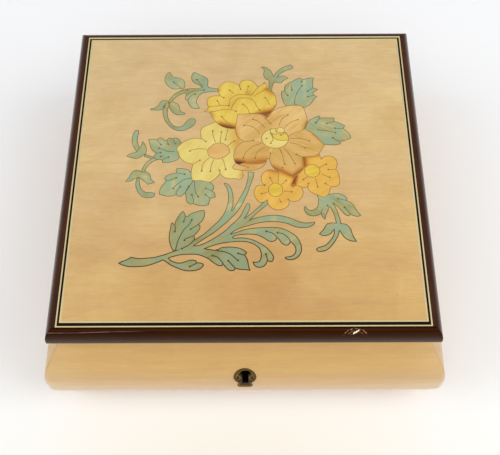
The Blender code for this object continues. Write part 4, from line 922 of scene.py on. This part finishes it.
def pale_and_gold(made):
    """The two pale flowers on the left."""
    made.leaf("pale", """
        700,560 672,569 658,576 640,585 626,594 617,606 614,621 616,636 619,655 601,653 581,652
        565,658 547,668 535,678 524,690 515,701 514,710 520,722 525,737 529,749 536,760 547,771
        560,778 576,783 587,785 583,803 581,819 580,835 582,853 586,865 597,869 617,867 635,871
        649,875 663,875 676,865 686,855 695,844 701,835 708,840 717,851 731,857 747,859 763,859
        785,862 797,852 800,838 795,822 790,816 800,760 800,600 760,590""", """
        619,655 628,661 638,669o; 587,785 594,780 604,774 615,766o; 701,835 702,825 699,817o;
        667,614o 668,632 672,648 676,662 680,674; 705,620o 703,640 701,658 700,676; 731,603 729,628
        725,645 723,660o; 731,694 742,683 753,674 761,668o; 571,719o 581,713 595,709 613,707 631,708
        645,710; 654,753 640,769 630,783 625,801 624,812 625,820o; 676,762 669,776 665,792 662,808
        661,822o; 709,757 717,773 721,790 723,803 726,813o""",
        ((775, 600, 775, 680, 60, 0.3), (795, 840, 795, 841, 30, 0.3)), 60)
    made.leaf("amber", """
        647,719 650,707 662,694 672,685 682,679 701,677 719,684 731,693 738,706 743,726 731,740
        717,751 700,758 683,760 665,753 652,742""")
    made.leaf("gold", """
        628,508 640,500 645,485 641,470 638,455 641,440 650,430 662,425 680,423 697,424 690,410
        685,393 690,375 700,362 712,350 730,345 750,347 768,355 780,368 787,385 783,370 784,352
        795,340 812,335 830,337 845,346 856,360 860,371 872,370 885,360 893,347 900,356 906,372
        903,383 918,392 933,407 942,430 946,455 945,475 936,492 925,510 912,526 902,541 890,531
        875,523 858,519 835,521 800,526 775,527 772,550 768,578 764,603 745,602 722,597 700,586
        682,568 667,547 658,527 652,513""", """
        697,424 704,430 712,433o; 787,378 788,388o; 738,392o 748,402 758,412; 684,450o 690,462
        696,476; 645,485 665,481 690,478 715,476 735,478o; 652,512 670,510 690,504 712,499 740,498
        755,502 768,509o; 705,537o 715,552 733,572 755,592; 737,477 738,458 744,440 755,427 770,419
        800,416 822,417 838,421; 748,495 750,480 758,467 766,450 774,440; 774,440 790,436 812,436
        832,441 846,452 853,468 861,486 872,503o; 797,470o 810,482 820,498 827,520; 822,370o 816,392
        811,412; 836,422 845,405 857,388 870,372; 903,383 890,395 872,406 856,418 848,430; 897,435o
        908,453 918,476""",
        ((700, 590, 765, 606, 38, 0.95), (655, 515, 665, 535, 20, 0.35),
         (870, 528, 925, 515, 34, 0.8), (902, 540, 902, 541, 30, 0.8),
         (903, 388, 930, 405, 25, 0.45), (945, 480, 915, 522, 14, 0.6),
         (893, 347, 893, 348, 12, 0.6), (688, 392, 688, 393, 14, 0.5),
         (825, 410, 825, 411, 25, 0.25)), 70)


def orange_flowers(made):
    """The two round orange flowers on the right, with a yellow disc in each."""
    made.leaf("orange", """
        1053,750 1078,750 1105,747 1124,738 1128,754 1132,764 1140,755 1151,748 1164,747 1180,751
        1191,761 1198,776 1198,792 1194,805 1191,815 1197,824 1202,841 1204,862 1202,889 1189,899
        1167,900 1162,911 1159,927 1151,941 1140,951 1126,949 1110,941 1091,932 1078,922 1071,911
        1070,900 1059,904 1047,904 1035,900 1013,895 1012,870 1015,845 1050,800""", """
        1191,815 1160,816o; 1162,898 1154,893 1144,885o; 1070,900 1071,892 1073,885o; 1122,807
        1135,797 1152,789o; 1130,839 1148,847 1164,855o; 1103,859 1107,876 1111,901o; 1070,850
        1052,865o""",
        ((1058, 752, 1060, 795, 26, 0.7), (1022, 850, 1012, 890, 16, 0.9),
         (1060, 755, 1120, 745, 14, 0.35)), 30)
    made.disc("yellow", 1091, 822, 33, 32)
    made.leaf("orange", """
        890,892 880,881 876,868 876,849 883,832 894,822 908,816 924,816 937,822 948,826 964,819
        981,835 997,847 1013,849 1021,855 1024,865 1018,878 1005,892 1018,893 1030,895 1040,900
        1047,914 1049,930 1045,946 1035,962 1021,970 1008,972 994,968 987,962 991,973 988,987
        978,1000 962,1009 943,1012 924,1007 910,995 903,981 899,966 875,978 864,973 855,960 848,946
        845,930 847,914 854,900 864,893""", """
        948,828 949,850 946,868 948,880; 913,855o 918,867 924,881; 961,889 970,881 980,869o; 970,921
        983,924 1002,925o; 949,958 955,973o; 903,924 891,930 876,933o; 890,892o; 1005,892o;
        987,962o; 899,966o""",
        ((965, 822, 1015, 850, 26, 0.6), (1022, 852, 1008, 892, 14, 1.0),
         (905, 818, 945, 826, 16, 0.4)), 60)
    made.disc("yellow", 935, 915, 30, 33)


def backwards(text):
    """The same points in the other order."""
    return " ".join(reversed(text.split()))


def tan_flower(made):
    """The large brown flower and its crown of small petals. Its lower petals share its edge."""
    right = """
        1064,605 1085,619 1103,632 1120,651 1137,674 1148,687 1143,700 1135,714 1126,730 1119,739
        1105,747 1078,750 1054,750"""
    low = """
        1057,775 1058,795 1053,813 1040,830 1024,843 1005,847 988,840 975,828 966,818 959,824
        945,822 933,812 924,800 916,781 911,763"""
    left = """
        885,780 862,785 830,783 800,780 783,790 767,780 760,757 760,730 769,702 785,682 803,669"""
    below = f"{right} {low} 905,757 898,768 {left}"
    made.leaf("tan", """
        763,787 755,801 758,810 772,814 800,819 835,819 862,811 885,796 900,772 880,780
        800,775""", "783,790 800,796 820,803o", ((800, 785, 890, 780, 24, 0.3),), 10)
    made.leaf("tan", f"""
        775,527 800,524 850,522 872,526 890,537 902,547 915,527 930,510 950,495 975,485 1010,479
        1045,478 1062,488 1070,508 1076,535 1079,560 1072,585 {below} 790,661 776,646 768,626
        765,605 768,580 772,550""", "",
        ((895, 545, 915, 527, 16, 0.3), (1079, 565, 1064, 605, 16, 0.4),
         (765, 600, 776, 650, 16, 0.3)), 40)
    made.leaf("tan", f"880,668 845,670 {backwards(left)} 905,757 913,740 910,700", "",
              ((770, 778, 800, 784, 30, 1.0), (800, 783, 895, 772, 34, 0.45)), 20, 0.45, "none")
    made.leaf("tan", f"""
        916,732 913,751 {backwards(low)} 1054,750 1027,738 985,700 930,700""", "",
        ((925, 805, 965, 824, 26, 0.55), (975, 830, 1005, 850, 22, 0.6),
         (1005, 850, 1053, 813, 22, 0.6), (1057, 760, 1057, 800, 14, 0.5)), -60, 0.45, "none")
    made.leaf("tan", f"993,646 1020,627 {right} 1027,738 985,690", "",
              ((1103, 632, 1148, 687, 12, 0.35),), -15, 0.25, "none")
    made.leaf("tan", "937,655 945,640 955,640 945,655", f"""
        803,669 820,670 843,665o; 895,545 907,560 918,577o; 1064,605 1058,610 1040,618 1020,627
        1003,637 993,646; 911,763 913,751 916,732o; 1054,750 1045,748 1036,743 1027,738o;
        966,818 966,804o; 842,553o 860,560 880,579 893,600; 803,585o 820,585 840,593 858,610
        872,630; 995,530o 976,545 962,566 955,590; 1038,556o 1010,568 990,585 978,602;
        1000,655 1040,656 1062,661 1085,668o; 1000,678 1022,682 1045,692 1065,704o;
        955,708 963,730 970,755 975,788o; 975,708 995,735 1010,765 1020,785o;
        880,680 850,690 822,713 806,735 800,756o; 893,700 872,712 856,733 850,757o;
        {backwards(below)}""", (), 0, 0.0, "none")
    made.disc("pale", 937, 655, 58, 51)
    made.leaf("gold", """
        918,625 930,632 945,632 960,628 975,625 988,632 993,645 995,662 975,666 950,663 935,655
        928,645 925,635""", """
        920,602 917,625 925,645 928,660 918,680o; 900,655o; 938,605 944,628""", (), 20)
    made.disc("pale", 962, 612, 17, 14)
    made.leaf("pale", "978,618 984,619 984,621 978,621", "982,620 975,630 963,637o", (), 0, 0.0,
              "none")


def bouquet():
    """The whole drawing, from the lowest piece to the topmost."""
    made = Drawing()
    greens(made)
    pale_and_gold(made)
    orange_flowers(made)
    tan_flower(made)
    return made


def from_stretch(place, burn):
    """How far a place is from a scorched stretch, in units of its reach."""
    start, end = spot(*burn[:2]), spot(*burn[2:4])
    way = end - start
    share = (place - start).dot(way) / max(way.length_squared, 1e-9)
    return (place - start - way * min(1, max(0, share))).length / burn[4]


def inlay(drawing):
    """The drawing's triangles as closed thin pieces, one for each colour of veneer."""
    where, triangles = drawing.partition()
    place = [p * DRAWN + LAID for p in where]
    triangles = [(t, drawing.faces[k]) for t, k in triangles if len(set(t)) == 3]
    for group in INLAY:
        own = [(t, face) for t, face in triangles if face[1] == group]
        bm = bmesh.new()
        grain = bm.loops.layers.float_vector.new("grain")
        burn = bm.loops.layers.float.new("burn")
        tone = bm.loops.layers.float.new("tone")
        low, high = {}, {}
        top = LID_TOP + (0.045 if "line" in group else 0.04) * MM
        for triangle, (_, _, turn, shade, burns) in own:
            for i in triangle:
                if i not in high:
                    high[i] = bm.verts.new((*place[i], top))
                    low[i] = bm.verts.new((*place[i], LID_TOP - VENEER))
            made = bm.faces.new([high[i] for i in triangle])
            bm.faces.new([low[i] for i in reversed(triangle)])
            turn = math.radians(turn)
            for loop, i in zip(made.loops, triangle):
                x, y = place[i]
                loop[grain] = (x * math.cos(turn) + y * math.sin(turn),
                               y * math.cos(turn) - x * math.sin(turn), turn)
                loop[tone] = shade
                loop[burn] = max((mark[5] * max(0.0, 1 - from_stretch(where[i], mark)) ** 1.3
                                  for mark in burns), default=0.0)
        for i, j in border(t for t, _ in own):
            bm.faces.new((high[j], high[i], low[i], low[j]))
        add("inlay_" + group, bm, inlay_look(group), "lid", None, 30)


# Camera, light and floor, fitted to the photo

CAMERA = (0.003848, -0.20206, 0.37165)
LENS = 60.34                  # for a sensor 36 mm wide
PITCH, YAW, ROLL = (math.radians(turn) for turn in (61.02977, 0.42716, -0.60532))
SKY = ((0.0, 0.95), (0.25, 0.85), (0.6, 0.45), (1.0, 0.4))     # height and brightness


def camera():
    """It looks down at the box from the front, as the photo does."""
    data = bpy.data.cameras.new("camera")
    data.sensor_width = 36.0
    data.lens = LENS
    forward = Vector((0, math.cos(PITCH), -math.sin(PITCH)))
    right = Vector((1, 0, 0))
    rows = Matrix((right, right.cross(forward), forward))
    rows = rows @ Matrix.Rotation(YAW, 3, "Z").transposed()
    rows = Matrix.Rotation(-ROLL, 3, "Z") @ rows
    turn = Matrix((rows[0], rows[1], -rows[2])).transposed().to_4x4()
    made = linked("camera", data)
    made.matrix_world = Matrix.Translation(CAMERA) @ turn
    bpy.context.scene.camera = made


def lamp(name, place, size, power, colour):
    """A rectangle of light that looks at the box."""
    data = bpy.data.lights.new(name, "AREA")
    data.shape = "RECTANGLE"
    data.size, data.size_y = size
    data.energy = power
    data.color = colour
    made = linked(name, data)
    made.location = place
    made.rotation_mode = "QUATERNION"
    made.rotation_quaternion = (Vector((0, 0, 0.03)) - Vector(place)).to_track_quat("-Z", "Y")


def sky():
    """Soft light from all round, darker towards the top."""
    world = bpy.data.worlds.new("room")
    bpy.context.scene.world = world
    world.use_nodes = True
    tree = world.node_tree
    back = tree.nodes["Background"]
    where, split, shade = (tree.nodes.new("ShaderNode" + kind)
                           for kind in ("TexCoord", "SeparateXYZ", "ValToRGB"))
    tree.links.new(where.outputs["Generated"], split.inputs[0])
    tree.links.new(split.outputs[2], shade.inputs["Fac"])
    tree.links.new(shade.outputs["Color"], back.inputs["Color"])
    while len(shade.color_ramp.elements) < len(SKY):
        shade.color_ramp.elements.new(0.5)
    for element, (height, level) in zip(shade.color_ramp.elements, SKY):
        element.position = height
        element.color = (level * 0.98, level * 0.985, level, 1)
    back.inputs["Strength"].default_value = 1.0


def studio():
    sky()
    lamp("right", (0.9, -0.3, 0.95), (0.9, 0.9), 6.6, (1.0, 0.985, 0.97))
    lamp("left", (-0.95, -0.25, 0.9), (0.9, 0.9), 4.4, (0.98, 0.985, 1.0))
    lamp("front", (-0.05, -0.85, 1.15), (1.0, 0.7), 4.6, (1.0, 0.99, 0.975))
    look = Look("floor_paper", Roughness=0.9, Specular_IOR_Level=0.2)
    x, y, z = look.parts(look.place)
    # painted light: the floor is a little warmer and darker at the front, brighter and cooler at the
    # back
    colour = look.ramp(look.line(y, 2.0, 0.5), (0.0, rgb(249, 248, 240)),
                       (0.4, rgb(251, 252, 253)), (1.0, rgb(252, 253, 255)))
    # painted bounce: a warm glow on the floor just in front of the box, for the light the box throws
    # on it
    warm = look.times(look.spread(look.math("ABSOLUTE", x), 0.14, 0.02),
                      look.spread(y, -0.085, -0.13))
    look.finish(Base_Color=look.mix(look.times(warm, 0.8), colour, rgb(244, 238, 216)))
    bm = bmesh.new()
    bmesh.ops.create_grid(bm, x_segments=1, y_segments=1, size=4.0)
    mesh = bpy.data.meshes.new("floor")
    bm.to_mesh(mesh)
    bm.free()
    mesh.materials.append(look.material)
    floor = linked("floor", mesh)


# The case

def outer_profile():
    """The outside of a wall as (distance out, height), from the bottom up."""
    heel_low = HEEL_ROUND * math.sin(HEEL_TURN)
    heel = (WIDE_HALF - HEEL_ROUND, heel_low)
    belly = Vector((WIDE_HALF - BELLY_ROUND, heel_low + BELLY_FLAT))
    reach = Vector((TOP_HALF, CASE_HEIGHT)) - belly
    turn = math.atan2(reach.y, reach.x) - math.acos(min(1, BELLY_ROUND / reach.length))
    return (arc(heel, HEEL_ROUND, -HEEL_TURN, 0, 24) + arc(belly, BELLY_ROUND, 0, turn, 20)
            + [(TOP_HALF, CASE_HEIGHT)])


def out_at(height):
    """How far out the wall's surface lies at this height."""
    line = outer_profile()
    for (out, low), (other, high) in zip(line, line[1:]):
        if low <= height <= high:
            return out + (other - out) * (height - low) / max(1e-9, high - low)
    return line[-1][0]


def corner_round(height):
    """How round the case's upright corners are at this height: sharp above, full at the foot."""
    return float(numpy.interp(height / MM, *zip(*CORNERS))) * MM


def wall(quarter, steps=10):
    """One wall, mitred at both ends, with the corners of the case sanded round."""
    profile = [(INNER_HALF, 0), *outer_profile(), (INNER_HALF, CASE_HEIGHT)]
    turns = [math.pi / 4 * (1 - k / steps) for k in range(steps + 1)]
    rings = []
    for side, angles in ((-1, turns), (1, turns[::-1])):
        for angle in angles:
            ring = []
            for out, up in profile:
                round_by = corner_round(up) if out > INNER_HALF else 0
                flat = out - round_by
                ring.append((side * (flat + round_by * math.sin(angle) - MITRE),
                             -flat - round_by * math.cos(angle), up))
            rings.append(ring)
    bm = loft(rings)
    bmesh.ops.remove_doubles(bm, verts=bm.verts, dist=1e-6)
    return turned(bm, quarter)


def walls(woods):
    """The four walls, with the beds of the lock and the hinges and the keyhole cut into them."""
    made = {}
    for i, side in enumerate(SIDES):
        look = woods["case_maple_" + "xy"[i % 2]]
        made[side] = add(side + "_wall_wood", wall(i), look, "root", side + "_wall", 25)
    low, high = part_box("lock_case")
    near, far, top = low.y - HAIR, high.y + MM, high.z + MM
    cut(made["front"],
        box(low.x - HAIR, high.x + HAIR, near, far, high.z - FACE_PLATE, top),
        box(-LOCK_HALF, LOCK_HALF, near, far, low.z - HAIR, top))
    bored = BORE_FOOT + egg(KEYHOLE, *BORE_SIZE, -BORE_TURN, math.pi + BORE_TURN)
    cut(made["front"], prism_y(bored, -PAST, -INNER_HALF + MM), inside_look=hole_shade())
    for x in (-HINGE_X, HINGE_X):
        left, right = x - HINGE_HALF, x + HINGE_HALF
        cut(made["back"], box(left, right, HINGE_BED, PAST, CASE_HEIGHT - HINGE_SUNK, PAST),
            rod(KNUCKLE_BED, left, right, (0, *HINGE_PIN)))
    for side in ("front", "back"):
        smooth(made[side].data, 25)


def keyhole_outlines():
    """The plate's outline and its hole, as closed lines of (across, up)."""
    left, middle = PLATE
    neck = math.acos(PLATE_NECK / PLATE_ROUND)
    foot = [(-2.95, 24.0), (-3.35, 22.0), (-3.2, 21.2), (-2.2, 20.75), (0, 20.6), (2.2, 20.75),
            (3.2, 21.2), (3.35, 22.0), (2.95, 24.0)]
    outline = ([(left + x * MM, z * MM) for x, z in foot]
               + egg(PLATE, PLATE_ROUND, PLATE_ROUND, -neck, 0, 10)
               + egg(PLATE, PLATE_ROUND, PLATE_TALL, 0, math.pi, 32)[1:-1]
               + egg(PLATE, PLATE_ROUND, PLATE_ROUND, math.pi, math.pi + neck, 10))
    turn = math.acos(SLOT_HALF / KEYHOLE_SIZE[0])
    hole = ([(KEYHOLE[0] - SLOT_HALF, SLOT_LOW), (KEYHOLE[0] + SLOT_HALF, SLOT_LOW)]
            + egg(KEYHOLE, *KEYHOLE_SIZE, -turn, math.pi + turn))
    return resampled(outline, PLATE_STEP), resampled(hole, PLATE_STEP)


def plate_relief(place, rim, lip):
    """How proud the plate is, and how pale it is painted for rubbed wear and a painted highlight,
    from the distances to its rim and its hole.
    """
    across = abs(place[0] - PLATE[0])
    band = bell(rim, 0.4 * MM, 0.5 * MM)
    line = bell(rim, 1.15 * MM, 0.2 * MM) * (place[1] > 29.0 * MM)
    scroll = math.hypot(across - 3.9 * MM, place[1] - 29.4 * MM)
    ear = 0.7 * bell(scroll, 1.9 * MM, 0.26 * MM) * (across < 3.6 * MM)
    ridge = bell(place[1], 22.2 * MM, 0.35 * MM) * (across < 2.6 * MM)
    soft = min(1.0, min(rim, lip) / PLATE_RIM)
    proud = (0.12 + 0.43 * max(band, 0.8 * line, ear, 0.8 * ridge) * soft) * MM
    return proud, max(0.4 * band, 0.8 * line, ear, 0.8 * ridge)


def keyhole_plate(look):
    """The cast keyhole plate: a broad rim, a fine ridge inside it, scrolls beside the slot and a
    ridge on its foot, laid over the curve of the wall."""
    outline, hole = keyhole_outlines()
    start = len(outline)
    edges = [(i, (i + 1) % start) for i in range(start)]
    edges += [(start + i, start + (i + 1) % len(hole)) for i in range(len(hole))]
    ring, gap = numpy.array(outline), numpy.array(hole)
    kept = numpy.array([(x * PLATE_GRID, z * PLATE_GRID) for x in range(-26, 28)
                        for z in range(100, 180)])
    kept = kept[inside(ring, kept) & ~inside(gap, kept)]
    kept = [p for p in kept if min(distance_to(ring, p), distance_to(gap, p)) > PLATE_RIM]
    where = [Vector(p) for p in (*outline, *hole, *kept)]
    found, _, triangles, *_ = delaunay_2d_cdt(where, edges, [], 0, 1e-7, False)
    flat = numpy.array([[p.x, p.y] for p in found])
    middles = flat[numpy.array(triangles)].mean(axis=1)
    wanted = inside(ring, middles) & ~inside(gap, middles)
    triangles = [triangle for triangle, keep in zip(triangles, wanted) if keep]
    bm = bmesh.new()
    relief = bm.verts.layers.float.new("relief")
    front, back = {}, {}
    for i in sorted({i for triangle in triangles for i in triangle}):
        x, z = flat[i]
        proud, bright = plate_relief(flat[i], distance_to(ring, flat[i]), distance_to(gap, flat[i]))
        front[i] = bm.verts.new((x, -out_at(z) - proud, z))
        front[i][relief] = bright
        back[i] = bm.verts.new((x, -out_at(z) + PLATE_DEEP, z))
    for triangle in triangles:
        bm.faces.new([front[i] for i in triangle])
        bm.faces.new([back[i] for i in reversed(triangle)])
    for i, j in border(triangles):
        bm.faces.new((front[j], front[i], back[i], back[j]))
    add("keyhole_plate", bm, look, "root", "escutcheon", 50)


def bell(value, middle, reach):
    return math.exp(-((value - middle) / reach) ** 2)


def resampled(line, step):
    """A closed line with points about a step apart, its corners kept."""
    made = []
    for a, b in zip(line, line[1:] + line[:1]):
        a, b = Vector(a), Vector(b)
        count = max(1, round((b - a).length / step))
        made += [tuple(a.lerp(b, k / count)) for k in range(count)]
    return made


def distance_to(ring, place):
    """The distance from a place to the nearest point of a finely stepped ring."""
    return float(numpy.sqrt(((ring - numpy.asarray(place)) ** 2).sum(axis=1).min()))


# The lid

def lipping_profile(quarter):
    """The section of the lipping on one side: its face is a quarter of an oval."""
    inner = LINES[quarter % 4][3] + HAIR
    reach, inset = LIP_REACH[quarter % 4], LIP_INSET[quarter % 4]
    top = [(reach - inset * (1 - abs(math.cos(t)) ** 0.9),
            LID_TOP - LIP_FALL * (1 - math.sin(t) ** 0.9))
           for t in (math.pi / 2 * k / 24 for k in range(25))]
    low = arc((reach - LIP_ROUND_LOW, LID_LOW + LIP_ROUND_LOW), LIP_ROUND_LOW, -math.pi / 2, 0, 8)
    return [(inner, LID_LOW), *low, *top, (inner, LID_TOP)]


def strings(woods):
    """Cream, black and cream strings in the bed between the veneer and the lipping."""
    low, high = REBATE + 0.05 * MM, LID_TOP + 0.02 * MM
    section = ((0, low), (1, low), (1, high), (0, high))
    for k, name, shade in ((0, "inner", "cream"), (1, "middle", "black"), (2, "outer", "cream")):
        for i, side in enumerate(SIDES):
            before, own, after = (
                [(line[k + j] + (0.5 - j) * HAIR, up) for j, up in section]
                for line in (LINES[i - 1], LINES[i], LINES[(i + 1) % 4]))
            ends = [[out for out, _ in line] for line in (before, after)]
            add(f"string_{name}_{side}", mitred(own, i, ends), woods[f"{shade}_{'xy'[i % 2]}"],
                "lid", "stringing_frame")


def lipping(woods):
    """The four mahogany strips, with a dent where the front one was knocked."""
    strips = {}
    for i, side in enumerate(SIDES):
        ends = [[out - HAIR for out, _ in lipping_profile(n)] for n in (i - 1, i + 1)]
        strips[side] = add("lipping_" + side, mitred(lipping_profile(i), i, ends),
                           woods["mahogany_" + side], "lid", "moulding_" + side)
    dent = bmesh.new()
    bmesh.ops.create_icosphere(dent, subdivisions=3, radius=1.0)
    bmesh.ops.scale(dent, verts=dent.verts, vec=DENT_SIZE)
    bmesh.ops.rotate(dent, verts=dent.verts, cent=(0, 0, 0),
                     matrix=Matrix.Rotation(-0.5, 3, "Y") @ Matrix.Rotation(0.3, 3, "Z"))
    bmesh.ops.translate(dent, verts=dent.verts, vec=DENT)
    cut(strips["front"], dent)
    return strips


def lid_wood(woods):
    """The lid's board, strings and lipping, and the beds of its hinges and its strike plate."""
    ahead, side, behind, _ = (line[0] - HAIR / 2 for line in LINES)
    hollow, ceiling = RECESS
    outer = LIPPED + HAIR
    profile = [(hollow, hollow, hollow, ceiling), (hollow, hollow, hollow, LID_LOW),
               (outer, outer, outer, LID_LOW), (outer, outer, outer, REBATE),
               (side, ahead, behind, REBATE), (side, ahead, behind, LID_TOP)]
    bm = loft([[(x, y, up) for x, y in ((-wide, -near), (wide, -near), (wide, far), (-wide, far))]
               for wide, near, far, up in profile])
    board = add("lid_board", bm, woods["lid_maple"], "lid", "lid_panel")
    strings(woods)
    strips = lipping(woods)
    for word in ("left", "right"):
        low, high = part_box(f"hinge_leaf_lid_{word}")
        bed = box(low.x - 0.05 * MM, high.x + 0.05 * MM, low.y - HAIR, LID_BED_END,
                  LID_LOW - MM, LID_LOW + HINGE_SUNK)
        cut(board, bed.copy())
        cut(strips["back"], bed)
    half, front, back = BOLT_ROOM
    cut(board, around("strike_plate", HAIR),
        box(-half, half, front, back, LID_LOW - MM, LID_LOW + BOLT_DEPTH))


# Inside the box

def grid_solid(columns, rows, top, bottom):
    """A closed solid between two surfaces given over a grid of shares from 0 to 1."""
    bm = bmesh.new()
    rims = []
    for surface in (top, bottom):
        layer = [[bm.verts.new(surface(i / columns, j / rows)) for i in range(columns + 1)]
                 for j in range(rows + 1)]
        for line, other in zip(layer, layer[1:]):
            for i in range(columns):
                bm.faces.new((line[i], line[i + 1], other[i + 1], other[i]))
        rims.append(layer[0] + [row[-1] for row in layer[1:]] + layer[-1][-2::-1]
                    + [row[0] for row in layer[-2:0:-1]])
    skin(bm, *rims)
    return bm


def pucker(x, y, seed):
    """A smooth uneven swell, from -1 to 1."""
    return (math.sin(173 * x + 71 * y + seed) + math.sin(97 * x - 211 * y + 2.3 * seed)
            + math.sin(331 * y + 57 * x + 0.7 * seed)) / 3


def pillow_edge(share):
    """How full a pad is at this share of its width: none at its edges, all in the middle."""
    return (1 - abs(2 * share - 1) ** 6) ** 0.5


def floor_cushion(cloth):
    """The padded floor: crowned, rolled down at its edges, drawn in between its corners."""
    low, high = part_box("floor_pad")
    inset, edge, crown = 0.15 * MM, 1.2 * MM, 1.65 * MM

    def top(a, b):
        full = pillow_edge(a) * pillow_edge(b)
        pull = 0.5 * MM * (1 - full)
        x = low.x + inset + (high.x - low.x - 2 * inset) * a
        y = low.y + inset + (high.y - low.y - 2 * inset) * b
        x += pull * math.sin(math.pi * b) * (1 if a < 0.5 else -1) * (a in (0, 1))
        y += pull * math.sin(math.pi * a) * (1 if b < 0.5 else -1) * (b in (0, 1))
        ruck = 0.12 * MM * pucker(x * 3, y * 3, 1.0) * full
        fold = 0.10 * MM * math.sin(900 * (x + y)) * full * (1 - full)
        return (x, y, FLOOR + edge + crown * full + ruck + fold)

    def bottom(a, b):
        x, y, _ = top(a, b)
        return (x, y, FLOOR)

    pad = add("floor_cushion", grid_solid(90, 60, top, bottom), cloth, "root", "floor_pad",
              60)


def finger_roll(number, cloth):
    """One padded roll of the ring holder, its ends gathered and its foot pressed flat."""
    low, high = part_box(f"ring_roll_{number}")
    middle, radius = (low + high) / 2, (high.z - low.z) / 2 - 0.03 * MM
    sides, steps = 56, 72
    rings = []
    for i in range(steps + 1):
        share = i / steps
        x = low.x + 0.05 * MM + (high.x - low.x - 0.1 * MM) * share
        end = min(share, 1 - share) * (high.x - low.x)
        close = min(1.0, end / (2.6 * MM))
        full = 0.62 + 0.38 * math.sqrt(1 - (1 - close) ** 2)
        ring = []
        for k in range(sides):
            t = 2 * math.pi * k / sides
            gather = 1 - 0.012 * (1 - close) * math.cos(14 * t) - 0.004 * pucker(x, t / 40, number)
            reach = radius * full * min(1.0, gather)
            up = max(math.sin(t), -0.93)
            ring.append((x, middle.y + reach * math.cos(t), middle.z + reach * up))
        rings.append(ring)
    caps = [[(x + way * 0.35 * MM, middle.y + (y - middle.y) * 0.55,
              middle.z + (z - middle.z) * 0.55) for x, y, z in ring]
            for ring, way in ((rings[0], 1), (rings[-1], -1))]
    roll = add(f"finger_roll_{number}", loft([caps[0], *rings, caps[1]]), cloth, "root",
               f"ring_roll_{number}", 60)


def mirror_surround(cloth):
    """The padded frame round the mirror: a crowned band, mitred and gathered at its corners."""
    inner, outer = 50.0 * MM, 59.0 * MM
    middle, reach = (inner + outer) / 2, (outer - inner) / 2
    ring_steps, side_steps = 20, 64
    rings = []
    corners = [(-1, -1), (1, -1), (1, 1), (-1, 1)]
    for (cx, cy), (nx, ny) in zip(corners, corners[1:] + corners[:1]):
        for k in range(side_steps):
            share = k / side_steps
            dx, dy = cx + (nx - cx) * share, cy + (ny - cy) * share
            near = min(share, 1 - share) * 2 * middle
            tuck = math.exp(-(near / (1.6 * MM)) ** 2)
            puff = min(1, 1 - 0.30 * tuck + 0.03 * pucker(dx / 12, dy / 12, 3.0))
            ring = []
            for i in range(ring_steps + 1):
                t = math.pi * i / ring_steps
                out = middle - reach * math.cos(t)
                full = math.sin(t) ** 0.55
                ring.append((dx * out, dy * out, LID_LOW - 0.02 * MM - 1.5 * MM * full * puff))
            rings.append(ring)
    frame_pad = add("mirror_surround", loft(rings, True), cloth, "lid", "mirror_frame", 60)


def lined_boards(cloth):
    """The lining of the walls and the two dividers: card wrapped in velvet, soft along its edges."""
    low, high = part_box("wall_lining")
    outer, inner, crown = high.x, high.x - 1.2 * MM, 0.6 * MM
    steps = 12
    swell = [(inner - 0.12 * MM * math.sin(math.pi * k / steps),
              low.z + (high.z - low.z - crown) * k / steps) for k in range(1, steps)]
    profile = [(outer, low.z), (inner, low.z), *swell,
               *arc((inner + crown, high.z - crown), crown, math.pi, 0, steps)]
    add("velvet_lining", square_ring(profile), cloth, "root", "wall_lining", 60)
    for node in ("rear_divider", "works_divider"):
        made = add("velvet_" + node, around(node, 0.0), cloth, "root", node, 60)
        modify(made, "BEVEL", width=1.1 * MM, segments=5)
        modify(made, "WEIGHTED_NORMAL")


def inside_of_the_box():
    cloth = velvet()
    floor_cushion(cloth)
    for number in (1, 2, 3):
        finger_roll(number, cloth)
    mirror_surround(cloth)
    lined_boards(cloth)


# What the model already has in its right shape

def dress(node, look, edge=0.0):
    """A node of the model in its own material, with its edges broken by a small bevel."""
    made = NODES[node]
    made.data.materials.clear()
    made.data.materials.append(look)
    if edge:
        modify(made, "WELD", merge_threshold=0.005 * MM)
        modify(made, "DECIMATE", decimate_type="DISSOLVE", angle_limit=math.radians(1.0))
        modify(made, "BEVEL", width=edge, segments=2, limit_method="ANGLE",
               angle_limit=math.radians(40), use_clamp_overlap=True)
        modify(made, "WEIGHTED_NORMAL", keep_sharp=True)


def dress_the_rest(woods):
    """Every node that shows, by the start of its name. The longest start that fits counts, and
    what is left are the screws of the hinges and the lock."""
    brass = metal("brass", (214, 176, 96), "X", 0.24)
    dark = metal("screw_brass", (196, 158, 84), "Z", 0.3)
    turned_brass = metal("turned_brass", (220, 182, 98), "Z", 0.2, 0.8)
    steel = metal("steel", (196, 198, 200), "X", 0.22, 0.6, 0.15)
    blued = metal("spring_steel", (120, 124, 138), "X", 0.25, 0.6, 0.2)
    bright = metal("bright_steel", (208, 209, 210), "Z", 0.18, 0.5, 0.1)
    zinc = cast_zinc()
    looks = {
        "base_board": (woods["plywood"], 0.3 * MM), "cover_cleat": (woods["plywood"], 0.3 * MM),
        "lock_case": (brass, 0.12 * MM), "strike_plate": (brass, 0.15 * MM),
        "bedplate": (zinc, 0.15 * MM), "governor_bracket": (zinc, 0.12 * MM),
        "comb": (steel, 0.06 * MM), "winding_key": (steel, 0.2 * MM),
        "works_cover": (clear_plastic(), 0.25 * MM), "lock_bolt": (steel, 0.15 * MM),
        "mirror": (mirror_glass(), 0.3 * MM), "hinge_leaf": (brass, 0.08 * MM),
        "spring_drum": (turned_brass,), "pinned_cylinder": (turned_brass,),
        "train_wheel": (brass,), "governor": (bright,), "mainspring": (blued,),
        "winding_arbor": (bright,), "stop_pin": (bright,), "hinge_pin": (bright,),
        "comb_screw": (steel,), "fixing_screw": (steel,),
    }
    for node, made in NODES.items():
        if not made.hide_render:
            starts = [name for name in looks if node.startswith(name)]
            dress(node, *looks[max(starts, key=len)] if starts else (dark,))


bpy.context.scene.view_settings.view_transform = "Standard"
woods = all_woods()
camera()
studio()
walls(woods)
lid_wood(woods)
keyhole_plate(aged_brass())
inlay(bouquet())
inside_of_the_box()
dress_the_rest(woods)
